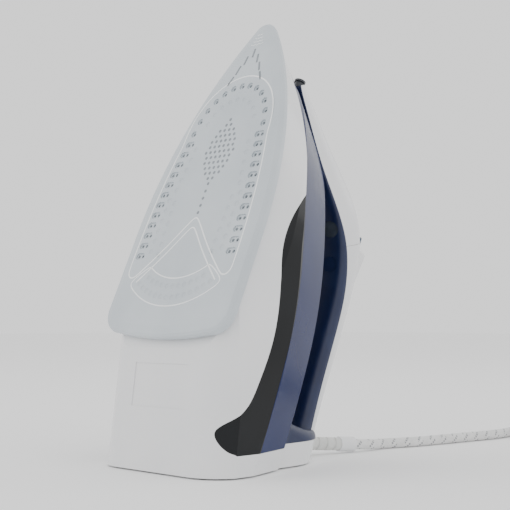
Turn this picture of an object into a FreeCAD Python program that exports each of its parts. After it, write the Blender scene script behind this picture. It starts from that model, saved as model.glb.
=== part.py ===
"""Steam iron standing on its heel rest, as a parametric FreeCAD document.

Every piece is drawn in the iron's own frame, lying on its sole: X across, Y towards the heel with the
sole's heel edge at y = 0, Z up from the sole's face.  One shared placement then stands the iron up on
its heel rest, whose middle is the origin of the part.
"""
import FreeCAD
import Part
import math
import os

from FreeCAD import Placement, Rotation, Vector

SIZES = [
    # alias, value, meaning
    ("lean", 24.2, "angle of the sole from upright when the iron stands on its heel"),
    ("rest_y", 52.6, "middle of the heel rest, along the iron"),
    ("rest_z", 85.1, "middle of the heel rest, above the sole's face"),
    ("wall", 2.4, "wall of the plastic shells"),
    ("gap", 0.3, "clearance between pieces that move past each other"),
    ("seam", 0.15, "gap of a fixed seam between two shells"),
    ("fit", 0.06, "radial clearance of a shaft that turns or slides in its bore"),
    ("contact", 0.05, "gap between inner pieces that rest on each other"),
    ("sole_half", 58.5, "half width of the soleplate"),
    ("sole_side_radius", 262.0, "radius of the soleplate's sides"),
    ("sole_side_start", -72.0, "where the soleplate's sides begin to curve in"),
    ("sole_tip_radius", 9.0, "radius of the soleplate's tip"),
    ("sole_corner", 15.0, "radius of the soleplate's heel corners"),
    ("sole_bow", 3.5, "how far the heel edge bows out"),
    ("sole_thick", 8.5, "thickness of the soleplate"),
    ("sole_bevel", 7.0, "width of the bevelled band round the sole's face"),
    ("hole_radius", 1.15, "radius of a steam hole"),
    ("hole_pitch", 7.54, "pitch of the paired steam holes along each side"),
    ("hole_pairs", 12, "paired steam holes along each side"),
    ("recess_length", 8.4, "length of the recess round a pair of holes"),
    ("recess_width", 4.6, "width of the recess round a pair of holes"),
    ("recess_depth", 0.9, "depth of the recess round a pair of holes"),
    ("dimple_radius", 2.1, "radius of a blind dimple"),
    ("dimple_depth", 0.55, "depth of a blind dimple"),
    ("skirt_bottom", 9.2, "lower edge of the white skirt"),
    ("body_half", 57.5, "half width of the body at its widest"),
    ("body_foot_half", 53.5, "half width of the body at the sole"),
    ("tail_angle", 16.6, "slope of the body's underside behind the sole"),
    ("tail_corner", 27.0, "radius of the tail's lower corners"),
    ("heel_lift", 1.0, "how far the shells stay above the floor when standing"),
    ("heel_band", 13.5, "height of the white band above the floor when standing"),
    ("foot_band", 15.5, "height of the white foot below the handle when standing"),
    ("tank_top", 87.5, "highest point of the tank's top"),
    ("tank_bulkhead", 12.0, "rear wall of the water space"),
    ("nose_z", 41.0, "height at which the white nose cover begins"),
    ("handle_top", 138.0, "height of the handle's top"),
    ("handle_half", 22.5, "half width of the handle at its middle"),
    ("dial_y", -88.0, "centre of the temperature dial"),
    ("dial_radius", 21.0, "radius of the temperature dial"),
    ("dial_height", 11.0, "height of the temperature dial"),
    ("hose_radius", 1.5, "outer radius of the inner hoses"),
    ("spindle_radius", 3.0, "radius of the thermostat's spindle"),
    ("rod_y", -152.0, "axis of the steam valve's rod"),
    ("rod_radius", 2.5, "radius of the steam valve's rod"),
    ("rod_length", 77.8, "length of the steam valve's rod"),
    ("knob_reach", 16.0, "from the valve rod's axis to the steam knob"),
    ("knob_half", 6.5, "half width of the steam knob"),
    ("button_y", -112.5, "centre of the two buttons"),
    ("button_length", 22.0, "length of a button"),
    ("button_width", 11.0, "width of a button"),
    ("button_spread", 6.6, "from the middle of the handle to the middle of a button"),
    ("button_travel", 3.5, "travel of a button"),
    ("pump_radius", 4.6, "outer radius of a pump's cylinder"),
    ("piston_radius", 2.9, "radius of a pump's piston"),
    ("travel_turn", 20.0, "turn of the steam knob to either side"),
    ("door_width", 21.0, "width of the filling door"),
    ("door_length", 30.0, "length of the filling door"),
    ("element_radius", 3.4, "radius of the heating element's sheath"),
    ("chamber_height", 12.0, "height of the steam chamber's wall"),
    ("cover_thick", 1.5, "thickness of the steam chamber's cover"),
    ("shield_thick", 2.0, "thickness of the heat shield"),
    ("screw_radius", 2.0, "radius of a screw's shank"),
    ("head_height", 2.0, "height of a screw's head"),
    ("head_radius", 3.6, "radius of a screw's head"),
    ("cord_diameter", 7.2, "diameter of the mains cord"),
    ("guard_radius", 4.5, "radius of the cord guard's sleeve"),
    ("guard_length", 45.0, "length of the cord guard's ribbed sleeve"),
    ("collar_radius", 5.1, "radius of the collar at the guard's end"),
    ("collar_length", 13.0, "length of the collar at the guard's end"),
    ("guard_yaw", 12.0, "angle of the cord guard from straight back"),
    ("guard_pitch", -4.0, "rise of the cord guard, downwards when negative"),
    ("ball_reach", 57.0, "from the middle of the heel rest to the cord guard's ball"),
    ("ball_radius", 5.8, "radius of the cord guard's ball"),
    ("ball_height", 9.6, "height of the cord guard's ball above the floor"),
    ("coil_radius", 41.0, "radius of the middle of the stored coil's turns"),
    ("coil_turns", 4.0, "turns beside each other in the stored coil"),
    ("plug_length", 34.0, "length of the plug's body"),
    ("plug_width", 26.0, "width of the plug's body"),
    ("blade_pitch", 12.7, "distance between the plug's blades"),
]

doc = FreeCAD.newDocument("SteamIron")
sheet = doc.addObject("Spreadsheet::Sheet", "Sizes")
for row, (alias, value, meaning) in enumerate(SIZES, start=1):
    sheet.set(f"A{row}", meaning)
    sheet.set(f"B{row}", str(value))
    sheet.setAlias(f"B{row}", alias)
doc.recompute()


def size(alias):
    """The number that a cell of the sheet holds."""
    return float(sheet.get(alias))


LEAN = math.radians(size("lean"))
SIN, COS = math.sin(LEAN), math.cos(LEAN)
TURN = Rotation(Vector(1, 0, 0), -90.0 - size("lean"))
REST = Vector(0, size("rest_y"), size("rest_z"))
STAND = Placement(TURN.multVec(REST) * -1, TURN)
UP = Vector(0, -COS, -SIN)          # away from the floor, in the lying frame
BACK = Vector(0, -SIN, COS)         # along the floor, from the sole's side to the handle's side
BIG = 600.0
NODES = []


def publish(item, label, placement=STAND):
    """Name a finished piece and stand it up with the rest of the iron."""
    item.Label = label
    item.Placement = placement.multiply(item.Placement)
    NODES.append(item)
    return item


def feature(label, shape, placement=STAND):
    """A piece whose shape is worked out with Part's own functions."""
    item = doc.addObject("Part::Feature", label)
    item.Shape = shape
    item.Placement = placement.multiply(shape.Placement)
    item.Label = label
    NODES.append(item)
    return item


def bind(item, **formulas):
    """Tie the item's properties to the sheet."""
    for name, formula in formulas.items():
        item.setExpression(name, formula)
    return item


def at(item, x=0.0, y=0.0, z=0.0, axis=Vector(0, 0, 1)):
    """Place a primitive in the lying frame, with its own Z turned to the axis."""
    item.Placement = Placement(Vector(x, y, z), Rotation(Vector(0, 0, 1), axis))
    return item


def cylinder(name, radius, height, **place):
    """A cylinder whose radius and height are formulas on the sheet."""
    return at(bind(doc.addObject("Part::Cylinder", name), Radius=radius, Height=height), **place)


def cone(name, low, high, height, **place):
    """A cone whose two radii and height are formulas on the sheet."""
    return at(bind(doc.addObject("Part::Cone", name), Radius1=low, Radius2=high, Height=height), **place)


def box(name, length, width, height, x=0.0, y=0.0, z=0.0):
    """A box centred on x and y that stands on z; its sizes are formulas on the sheet."""
    item = bind(doc.addObject("Part::Box", name), Length=length, Width=width, Height=height)
    doc.recompute()
    item.Placement = Placement(Vector(x - item.Length.Value / 2, y - item.Width.Value / 2, z), Rotation())
    return item


def cut(name, base, *tools):
    """The base less the tools."""
    item = doc.addObject("Part::Cut", name)
    item.Base = base
    item.Tool = tools[0] if len(tools) == 1 else fuse(name + "_tools", *tools)
    return item


def fuse(name, *pieces):
    """The pieces joined."""
    item = doc.addObject("Part::MultiFuse", name)
    item.Shapes = list(pieces)
    return item


def group(name, pieces):
    """Identical separate pieces kept together."""
    item = doc.addObject("Part::Compound", name)
    item.Links = list(pieces)
    return item


# ---------------------------------------------------------------- shared forms of the body

def slab(low, high):
    """Everything whose height above the floor, when standing, lies between low and high."""
    plate = Part.makeBox(BIG, high - low, BIG)
    turn = Rotation(Vector(1, 0, 0), UP, BACK * -1, "XYZ")
    corner = REST + UP * low + BACK * (BIG / 2) - Vector(BIG / 2, 0, 0)
    plate.Placement = Placement(corner, turn)
    return plate


def side_prism(outline, half):
    """A closed outline in the side view, given a thickness to both sides."""
    face = Part.Face(Part.Wire(outline))
    face.translate(Vector(-half, 0, 0))
    return face.extrude(Vector(2 * half, 0, 0))


def side_curve(points):
    """A smooth curve through points of the side view."""
    curve = Part.BSplineCurve()
    curve.interpolate([Vector(0, y, z) for y, z in points])
    return curve.toShape()


def below(points, floor=-BIG / 2):
    """All that lies below a curve of the side view."""
    (y0, z0), (y1, z1) = points[0], points[-1]
    first, last = Vector(0, y0, z0), Vector(0, y1, z1)
    low_first, low_last = Vector(0, y0, floor), Vector(0, y1, floor)
    edges = [side_curve(points), Part.makeLine(last, low_last), Part.makeLine(low_last, low_first),
             Part.makeLine(low_first, first)]
    return side_prism(edges, BIG / 2)


def shifted(points, rise):
    """The same points moved up."""
    return [(y, z + rise) for y, z in points]


def teardrop(z, half, tip, full, power, root, rear=110.0, steps=9):
    """Plan outline at height z: blunt nose at tip, full half width from full back to rear."""
    right = []
    for i in range(1, steps + 1):
        reach = math.cos(math.pi / 2 * i / steps)
        right.append(Vector(half * (1 - reach ** power) ** (1 / root), full - (full - tip) * reach, z))
    left = [Vector(-p.x, p.y, z) for p in reversed(right)]
    curve = Part.BSplineCurve()
    curve.interpolate(left + [Vector(0, tip, z)] + right,
                      InitialTangent=Vector(0, -1, 0), FinalTangent=Vector(0, 1, 0))
    start, end = left[0], right[-1]
    rear_start, rear_end = Vector(start.x, rear, z), Vector(end.x, rear, z)
    return Part.Wire([curve.toShape(), Part.makeLine(end, rear_end), Part.makeLine(rear_end, rear_start),
                      Part.makeLine(rear_start, start)])


def skirt_form(inset):
    """The nearly upright lower sides of the body."""
    low, mid, high = size("skirt_bottom") - 9, 32.0, 100.0
    foot, half = size("body_foot_half"), size("body_half")
    sections = [(low, foot - 1.5, -237.0), (size("skirt_bottom"), foot, -228.5), (mid, half, -211.0),
                (high, half, -180.0)]
    wires = [teardrop(z, width - inset, tip + 1.3 * inset, -60.0, 2.2, 1.2) for z, width, tip in sections]
    return Part.makeLoft(wires, True, True)


def crown_form(inset):
    """The upper sides of the body, which lean in and run back at the nose."""
    half = size("body_half")
    low_z, high_z = -4.0, 100.0
    low = teardrop(low_z, half + 22.8 - 1.08 * inset, -235.0 + 1.3 * inset, 12.0, 2.6, 1.35)
    high = teardrop(high_z, half - 15.1 - 1.08 * inset, -161.2 + 1.3 * inset, 47.0, 2.6, 1.35)
    return Part.makeLoft([low, high], True, True)


def tail_form(inset):
    """A long channel whose floor is the body's underside behind the sole, with rounded corners."""
    half, corner = size("body_half") + 2.5 - inset, size("tail_corner") - inset
    outline = [Vector(-half, 0, 150), Vector(-half, 0, corner), Vector(-half + corner, 0, 0),
               Vector(half - corner, 0, 0), Vector(half, 0, corner), Vector(half, 0, 150)]
    bend = corner * (1 - math.sqrt(0.5))
    edges = [Part.makeLine(outline[0], outline[1]),
             Part.Arc(outline[1], Vector(-half + bend, 0, bend), outline[2]).toShape(),
             Part.makeLine(outline[2], outline[3]),
             Part.Arc(outline[3], Vector(half - bend, 0, bend), outline[4]).toShape(),
             Part.makeLine(outline[4], outline[5]), Part.makeLine(outline[5], outline[0])]
    shape = Part.Face(Part.Wire(edges)).extrude(Vector(0, 2 * BIG, 0))
    shape.translate(Vector(0, -BIG, 0))
    shape.Placement = Placement(Vector(0, 0, 8.0 + inset), Rotation(Vector(1, 0, 0), size("tail_angle"))).multiply(
        shape.Placement)
    return shape


TOP_LINE = [(-250.0, 74.0), (-150.0, 74.5), (-114.0, 76.5), (-91.0, 80.0), (-60.0, 84.5), (-20.0, 87.0),
            (30.0, 87.5), (110.0, 87.5)]
BELT_LINE = [(-240.0, 18.0), (-205.0, 24.0), (-166.0, 30.0), (-132.0, 34.0), (-110.0, 36.5), (-87.0, 41.8),
             (-54.0, 50.5), (-20.0, 55.6), (12.0, 57.6), (60.0, 60.0), (110.0, 62.0)]
PANEL_LINE = [(-118.0, 38.5), (-96.0, 29.3), (-76.0, 26.6), (-55.0, 31.8), (-36.0, 38.0), (-14.0, 41.8),
              (12.0, 41.0), (28.0, 38.2), (40.0, 31.0), (48.0, 27.5), (54.0, 31.0), (57.0, 40.0)]


def top_line(drop):
    """The tank's top line, lowered by the wall where the water space is meant."""
    rise = size("tank_top") - TOP_LINE[-1][1] - drop
    return shifted(TOP_LINE, rise)


def body_form(inset):
    """The whole body below the handle, inset by a wall where its hollow is meant."""
    shape = skirt_form(inset).common(crown_form(inset)).common(tail_form(inset))
    shape = shape.common(below(top_line(inset)))
    return shape


# ---------------------------------------------------------------- the handle's arch

RIBS = [
    # foot y, foot share, top y, top share, half width, grip depth
    (-205.0, 0.000, -209.0, 0.055, 8.5, 1.0),
    (-190.0, 0.077, -197.0, 0.180, 13.0, 1.5),
    (-172.0, 0.206, -184.0, 0.335, 17.0, 2.0),
    (-157.0, 0.330, -172.0, 0.500, 20.0, 2.5),
    (-143.0, 0.474, -160.0, 0.680, 22.5, 3.2),
    (-130.5, 0.608, -147.5, 0.820, 24.0, 4.2),
    (-118.5, 0.722, -132.0, 0.925, 24.0, 6.0),
    (-103.0, 0.812, -112.0, 0.975, 23.5, 8.0),
    (-84.0, 0.872, -88.0, 0.992, 22.8, 9.6),
    (-58.0, 0.897, -59.0, 1.000, 22.5, 10.2),
    (-20.0, 0.897, -20.0, 0.985, 23.5, 10.2),
    (8.0, 0.884, 10.0, 0.960, 26.5, 11.0),
    (24.0, 0.865, 29.0, 0.925, 30.0, 14.0),
]


def rib(index):
    """Foot, top, half width and grip depth of one rib of the arch."""
    foot_y, foot_share, top_y, top_share, half, depth = RIBS[index]
    rise = size("handle_top") - size("nose_z")
    foot = Vector(0, foot_y, size("nose_z") + foot_share * rise)
    top = Vector(0, top_y, size("nose_z") + top_share * rise)
    return foot, top, half + size("handle_half") - 22.5, depth


def arch_section(index, up, down, side, deep):
    """Closed section of the arch: up above the split line, down below it, side outwards, deep further down."""
    foot, top, half, depth = rib(index)
    across = Vector(half + side, 0, 0)
    rise = (top - foot).normalize()
    high = foot + rise * ((top - foot).Length + side if up else 0.0)
    low = foot - rise * (max(depth + side, 0.4) + deep if down else 0.0)
    profile = [(1.0, 0.0), (1.0, 0.35), (0.93, 0.68), (0.70, 0.90), (0.36, 0.985), (0.0, 1.0)]

    def bow(end):
        points = [foot + across * a + (end - foot) * b for a, b in profile]
        mirror = [Vector(-p.x, p.y, p.z) for p in reversed(points[:-1])]
        curve = Part.BSplineCurve()
        curve.interpolate(points + mirror)
        return curve.toShape()

    right, left = foot + across, foot - across
    upper = bow(high) if up else Part.makeLine(right, left)
    lower = bow(low) if down else Part.makeLine(right, left)
    return Part.Wire([upper, lower])


def arch(up, down, side=0.0, first=0, last=len(RIBS) - 1, deep=0.0):
    """Loft of the arch's sections."""
    wires = [arch_section(i, up, down, side, deep) for i in range(first, last + 1)]
    return Part.makeLoft(wires, True, False)


def behind(foot, top, shift=0.0):
    """All that lies behind the plane through foot and top that holds the X axis."""
    rise = (top - foot).normalize()
    back = Vector(1, 0, 0).cross(rise)
    if back.y < 0:
        back = back * -1
    block = Part.makeBox(BIG, BIG, BIG)
    turn = Rotation(Vector(1, 0, 0), back, rise, "XYZ")
    block.Placement = Placement(foot + back * shift - Vector(BIG / 2, 0, 0) - rise * (BIG / 2), turn)
    return block


def stern_form(inset):
    """The rear pillar, from the tank's top to the handle's rear end, out past the floor."""
    top = size("handle_top")
    sections = [(80.0, 48.5, 21.0), (104.0, 42.0, 17.0), (122.0, 36.5, 13.0), (top - 8.0, 29.0, 10.0),
                (top - 1.5, 18.0, 10.0)]
    wires = []
    for z, half, front in sections:
        half, front = half - inset, front + inset
        z = z - (inset if z > 100 else 0.0)
        corner = 7.0
        wires.append(Part.Wire([
            Part.makeLine(Vector(-half + corner, front, z), Vector(half - corner, front, z)),
            Part.Arc(Vector(half - corner, front, z), Vector(half - corner * 0.2929, front + corner * 0.2929, z),
                     Vector(half, front + corner, z)).toShape(),
            Part.makeLine(Vector(half, front + corner, z), Vector(half, 110, z)),
            Part.makeLine(Vector(half, 110, z), Vector(-half, 110, z)),
            Part.makeLine(Vector(-half, 110, z), Vector(-half, front + corner, z)),
            Part.Arc(Vector(-half, front + corner, z), Vector(-half + corner * 0.2929, front + corner * 0.2929, z),
                     Vector(-half + corner, front, z)).toShape()]))
    return Part.makeLoft(wires, True, False)


# ---------------------------------------------------------------- soleplate and what sits on it

def mirrored(p):
    """The same point on the other side of the iron."""
    return Vector(-p.x, p.y, p.z)


def sole_nose(z, inset, blunt):
    """Right-hand edge of the soleplate's front: its tip, and the end, middle and start of its long arc."""
    half, side = size("sole_half") - inset, size("sole_side_radius") - inset
    tip, start = max(size("sole_tip_radius") - inset, blunt), size("sole_side_start")
    centre = Vector(half - side, start, z)
    nose = Vector(0, start - math.sqrt((side - tip) ** 2 - (side - half) ** 2), z)
    touch = nose + (nose - centre).normalize() * tip
    turn = math.atan2(touch.y - start, touch.x - centre.x) / 2
    middle = centre + Vector(math.cos(turn), math.sin(turn), 0) * side
    return nose - Vector(0, tip, 0), touch, middle, Vector(half, start, z)


def nose_edges(tip, touch, middle, start):
    """The soleplate's front from its left side round to its right side."""
    return [Part.Arc(mirrored(start), mirrored(middle), mirrored(touch)).toShape(),
            Part.Arc(mirrored(touch), tip, touch).toShape(), Part.Arc(touch, middle, start).toShape()]


def sole_outline(z, inset, blunt=1.0):
    """The soleplate's outline at height z, inset evenly; its tip is never sharper than blunt."""
    nose = sole_nose(z, inset, blunt)
    half, start = nose[-1].x, nose[-1]
    corner = max(size("sole_corner") - inset, 3.0)
    rear, bend = -inset - size("sole_bow"), corner * (1 - math.sqrt(0.5))
    first, second, third = (Vector(half, rear - corner, z), Vector(half - bend, rear - bend, z),
                            Vector(half - corner, rear, z))
    return Part.Wire(nose_edges(*nose) + [
        Part.makeLine(start, first), Part.Arc(first, second, third).toShape(),
        Part.Arc(third, Vector(0, -inset, z), mirrored(third)).toShape(),
        Part.Arc(mirrored(third), mirrored(second), mirrored(first)).toShape(),
        Part.makeLine(mirrored(first), mirrored(start))])


def sole_prism(low, high, inset, blunt=1.0):
    """The soleplate's outline, inset evenly, given a height."""
    return Part.Face(sole_outline(low, inset, blunt)).extrude(Vector(0, 0, high - low))


def block(x0, x1, y0, y1, z0, z1):
    """A box between two corners."""
    return Part.makeBox(x1 - x0, y1 - y0, z1 - z0, Vector(x0, y0, z0))


def before(y):
    """All that lies nearer the nose than y."""
    return block(-BIG, BIG, -2 * BIG, y, -BIG, BIG)


def rod(radius, x, y, low, high):
    """An upright cylinder."""
    return Part.makeCylinder(radius, high - low, Vector(x, y, low))


FRONT_PAIR = -138.9     # the foremost pair of steam holes


def steam_holes():
    """Places of the steam holes: single ones round the front, then pairs along both sides."""
    singles = [(0.0, -179.7)]
    for step in range(1, 7):
        turn = math.radians(90 - 13.4 * step)
        x, y = 33.5 * math.cos(turn), FRONT_PAIR - 41.0 * math.sin(turn) ** 0.9
        singles += [(x, y), (-x, y)]
    pairs = []
    count = round(size("hole_pairs"))
    for step in range(count):
        x = 43.0 - 10.0 * (1 - step / (count - 1)) ** 2.4
        pairs += [(side * x, FRONT_PAIR + size("hole_pitch") * step) for side in (-1, 1)]
    return singles, pairs


def dimples():
    """Places of the blind dimples inside the rows of holes, and of the two bows at the heel."""
    places = []
    for step in range(-4, 5):
        turn = math.radians(90 - 16.0 * step)
        places.append((24.5 * math.cos(turn), FRONT_PAIR - 30.5 * math.sin(turn) ** 0.9))
    pitch = size("hole_pitch")
    for side in (-1, 1):
        for step in range(5):
            places.append((side * (25.0 + 1.3 * step), FRONT_PAIR + 4.9 + pitch * step))
        for step in range(6):
            places.append((side * (27.5 - 0.4 * step), FRONT_PAIR + 44.9 + pitch * step))
            places.append((side * 33.8, FRONT_PAIR + 42.3 + pitch * step))
    for radius, count, spread in ((54.0, 11, 28.8), (61.5, 14, 33.2)):
        for step in range(count):
            turn = math.radians(spread * (2 * step / (count - 1) - 1))
            places.append((radius * math.sin(turn), -87.4 + radius * math.cos(turn)))
    return places


SHIELD_Z = 26.0         # underside of the heat shield's top
POST = (44.0, -40.0)    # posts that hold the heat shield


def make_soleplate():
    """Coated aluminium plate with steam holes, recesses, dimples and two posts."""
    thick, band = size("sole_thick"), size("sole_bevel")
    levels = [(0.0, band), (1.1, 0.27 * band), (2.4, 0.07 * band), (4.2, 0.0), (thick - 1.0, 0.6), (thick, 1.6)]
    plate = Part.makeLoft([sole_outline(z, inset) for z, inset in levels], True, True)
    posts = [rod(3.4, side * POST[0], POST[1], thick - 1, SHIELD_Z - size("contact")) for side in (-1, 1)]
    tools = [rod(size("screw_radius") + size("contact"), side * POST[0], POST[1], thick + 6, SHIELD_Z + 1)
             for side in (-1, 1)]
    radius, depth = size("hole_radius"), size("recess_depth")
    singles, pairs = steam_holes()
    for x, y in singles:
        tools += [rod(radius, x, y, -1, thick + 1), rod(2.1 * radius, x, y, -1, depth)]
    half, width = (size("recess_length") - size("recess_width")) / 2, size("recess_width") / 2
    for x, y in pairs:
        ends = [rod(width, x + side * half, y, -1, depth) for side in (-1, 1)]
        tools.append(block(x - half, x + half, y - width, y + width, -1, depth).fuse(ends))
        tools += [rod(radius, x + side * half, y, -1, thick + 1) for side in (-1, 1)]
    dimple, deep = size("dimple_radius"), size("dimple_depth")
    tools += [Part.makeCone(dimple, 0.55 * dimple, deep, Vector(x, y, 0)) for x, y in dimples()]
    return plate.fuse(posts).cut(Part.makeCompound(tools))


ELEMENT_END = -26.0     # where the heating element's sheath ends
PIN_LENGTH = 10.0


def element_height():
    return size("sole_thick") + size("gap") + size("element_radius")


def element_half():
    return size("sole_half") - 22.0


def make_element():
    """Sheathed heating element, a hairpin lying on the soleplate, with a pin at each end."""
    z, half = element_height(), element_half()
    nose = sole_nose(z, size("sole_half") - half, 12.0)
    end = Vector(half, ELEMENT_END, z)
    spine = Part.Wire([Part.makeLine(mirrored(end), mirrored(nose[-1]))] + nose_edges(*nose)
                      + [Part.makeLine(nose[-1], end)])
    section = Part.Wire(Part.makeCircle(size("element_radius"), mirrored(end), Vector(0, 1, 0)))
    tube = spine.makePipeShell([section], True, False)
    pins = [Part.makeCylinder(1.2, PIN_LENGTH, Vector(side * half, ELEMENT_END - 1, z), Vector(0, 1, 0))
            for side in (-1, 1)]
    return tube.fuse(pins)


CHAMBER_HEEL = -104.0
CHAMBER_INSET = 31.0
CHAMBER_SCREWS = [(-18.0, -114.0), (18.0, -114.0), (-13.0, -139.0), (13.0, -139.0)]


def chamber_low():
    return size("sole_thick") + size("contact")


def chamber_top():
    return chamber_low() + size("chamber_height")


def cover_top():
    return chamber_top() + size("contact") + size("cover_thick")


def make_chamber():
    """Cast wall round the steam chamber, with bosses for the cover's screws."""
    low, high, wall = chamber_low(), chamber_top(), 3.5
    whole = sole_prism(low, high, CHAMBER_INSET, 6.0).common(before(CHAMBER_HEEL))
    hollow = sole_prism(low - 1, high + 1, CHAMBER_INSET + wall, 4.0).common(before(CHAMBER_HEEL - wall))
    bosses = Part.makeCompound([rod(4.0, x, y, low, high) for x, y in CHAMBER_SCREWS])
    holes = [rod(size("screw_radius") + size("contact"), x, y, low + 3, high + 1) for x, y in CHAMBER_SCREWS]
    return whole.cut(hollow).fuse(bosses.common(whole)).cut(Part.makeCompound(holes))


def make_chamber_cover():
    """Aluminium sheet over the chamber, open under the valve seat."""
    low, high = chamber_top() + size("contact"), cover_top()
    plate = sole_prism(low, high, CHAMBER_INSET + 0.5, 6.0).common(before(CHAMBER_HEEL - 0.5))
    holes = [rod(size("screw_radius") + size("contact"), x, y, low - 1, high + 1) for x, y in CHAMBER_SCREWS]
    holes += [rod(2.0, 0, size("rod_y"), low - 1, high + 1), burst_path(0.4)]
    return plate.cut(Part.makeCompound(holes))


SEAT_RADIUS = 6.0
BARREL_RADIUS = 5.0     # the thermostat's barrel


def make_heat_shield():
    """Plastic tray over the hot plate, inside the skirt."""
    bottom, thick, side = size("skirt_bottom") + 0.3, size("shield_thick"), size("wall") + 1.0
    limits = block(-BIG, BIG, -BIG, -8.0, bottom, SHIELD_Z + thick)
    inside = block(-BIG, BIG, -BIG, -8.0 - thick, bottom - 1, SHIELD_Z)
    hollow = body_form(side + thick).common(inside).common(below(shifted(BELT_LINE, -1.0 - thick)))
    tray = body_form(side).common(limits).common(below(shifted(BELT_LINE, -1.0))).cut(hollow)
    holes = [rod(SEAT_RADIUS + size("gap"), 0, size("rod_y"), 0, 40), burst_path(0.4),
             rod(BARREL_RADIUS + size("gap"), 0, size("dial_y"), 0, 40)]
    half, height = element_half(), element_height()
    for side in (-1, 1):
        holes.append(rod(size("screw_radius") + size("contact"), side * POST[0], POST[1], 0, 40))
        holes.append(block(side * half - 4, side * half + 4, -9 - thick, -7, 0, height + 7))
    return tray.cut(Part.makeCompound(holes))


# ---------------------------------------------------------------- hoses and leads

def hose(points, radius):
    """A round hose or lead along a smooth line."""
    path = Part.BSplineCurve()
    path.interpolate([Vector(*p) for p in points])
    section = Part.Wire(Part.makeCircle(radius, path.value(0), path.tangent(0)[0]))
    return Part.Wire(path.toShape()).makePipeShell([section], True, False)


HOSE_X = 9.0            # the two dip tubes, to either side of the valve rod
HOSE_Y = -146.0


def burst_path(extra):
    """Straight run of the steam burst's tube, down to the chamber."""
    return rod(size("hose_radius") + extra, -HOSE_X, HOSE_Y, cover_top() - 3, 90)


def dip_path(extra):
    """Straight run of the spray's pickup tube, down into the water."""
    return rod(size("hose_radius") + extra, HOSE_X, HOSE_Y, 38, 90)


def pump_hose(side, extra=0.0):
    """From a pump down inside the nose to the top of its straight run."""
    y, z = pump_foot()
    spread = side * size("button_spread")
    bend = [(spread, y - 0.4, z), (side * 7.4, y - 6.5, z - 4.6), (side * 8.4, -131.5, 101.0),
            (side * HOSE_X, -140.0, 93.2), (side * HOSE_X, HOSE_Y + 0.6, 87.0), (side * HOSE_X, HOSE_Y, 80.5)]
    return hose(bend, size("hose_radius") + extra)


# ---------------------------------------------------------------- shells

def tilt_block(point, normal, size_x, size_n, size_t):
    """A block centred on a point of the side view, its middle axis along the normal."""
    along = Vector(1, 0, 0).cross(normal)
    solid = Part.makeBox(size_x, size_n, size_t)
    turn = Rotation(Vector(1, 0, 0), normal, along, "XYZ")
    corner = point - Vector(size_x / 2, 0, 0) - normal * (size_n / 2) - along * (size_t / 2)
    solid.Placement = Placement(corner, turn)
    return solid


def standing(shape):
    """A shape drawn standing up, taken to the lying frame."""
    shape.Placement = STAND.inverse().multiply(shape.Placement)
    return shape


def panel_zone():
    """The region of the side view that the dark side panels fill."""
    (y0, z0), (y1, z1) = PANEL_LINE[0], PANEL_LINE[-1]
    over = size("tank_top") - 3.5
    edges = [side_curve(PANEL_LINE), Part.makeLine(Vector(0, y1, z1), Vector(0, y1 + 6, over)),
             Part.makeLine(Vector(0, y1 + 6, over), Vector(0, y0, over)),
             Part.makeLine(Vector(0, y0, over), Vector(0, y0, z0))]
    zone = side_prism(edges, BIG / 2)
    return zone.common(below(BELT_LINE)).common(slab(size("heel_band"), BIG))


def dial_floor():
    return size("tank_top") - 6.9


def dial_seat(extra):
    """Flat seat of the dial in the tank's top."""
    floor = dial_floor() - extra
    return rod(size("dial_radius") + 1.2 + extra, 0, size("dial_y"), floor, floor + 60)


def lead_passage():
    """Way of the mains lead from the cord guard's ball to the terminal block."""
    path = Part.makeCylinder(4.2, 90, Vector(0, size("ball_reach") - 90, size("ball_height")), Vector(0, 1, 0))
    return standing(path)


def guard_passage():
    """Way out of the foot for the cord guard's sleeve."""
    centre = Vector(0, size("ball_reach"), size("ball_height"))
    return standing(Part.makeCylinder(size("guard_radius") + size("gap"), 60, centre, GUARD_WAY))


def ball(extra):
    """A ball round the middle of the cord guard's ball."""
    centre = Vector(0, size("ball_reach"), size("ball_height"))
    return standing(Part.makeSphere(size("ball_radius") + extra, centre))


YAW, PITCH = math.radians(size("guard_yaw")), math.radians(size("guard_pitch"))
GUARD_WAY = Vector(math.sin(YAW) * math.cos(PITCH), math.cos(YAW) * math.cos(PITCH), math.sin(PITCH))
COVER_SCREW = (0.0, -48.0)      # the rear cover's screw, standing

outer_body = body_form(0.0)
inner_body = body_form(size("wall"))
arch_whole = arch(True, True, size("seam"))
arch_upper = arch(True, False)
arch_hollow = arch(True, True, -size("wall"), first=1)
upper_hollow = arch(True, True, -size("wall"), first=1, deep=6.0)
stern_whole = stern_form(0.0)
stern_hollow = stern_form(size("wall"))
body_shell = outer_body.cut(inner_body).common(slab(size("heel_lift"), BIG))
side_zone = panel_zone()
above_foot = slab(size("foot_band") + size("seam"), BIG)


def make_base_shell():
    """White skirt, tail and heel band of the body, with a bridge for the rear cover's screw."""
    lower = body_shell.common(below(BELT_LINE))
    band = body_shell.common(slab(size("heel_lift"), size("heel_band")))
    shell = lower.fuse(band).cut(block(-BIG, BIG, -BIG, BIG, -BIG, size("skirt_bottom"))).cut(side_zone)
    x, y = COVER_SCREW
    bridge = standing(block(-BIG, BIG, y - 6, y + 6, 10.6, 14.0)).common(body_form(size("wall") - 0.3))
    shell = shell.fuse(bridge)
    tail = math.radians(size("tail_angle"))
    reach = 26.0
    label = tilt_block(Vector(0, reach, 8.0 + reach * math.tan(tail)), Vector(0, math.sin(tail), -math.cos(tail)),
                       50.0, 1.2, 27.0)
    hole = standing(rod(size("screw_radius") + size("contact"), x, y, 0, 30))
    notch = stern_form(5.0 - size("seam")).common(slab(0.0, size("heel_lift") + 0.5 + size("contact")))
    return shell.cut(Part.makeCompound([label, hole, lead_passage()])).cut(notch)


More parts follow.
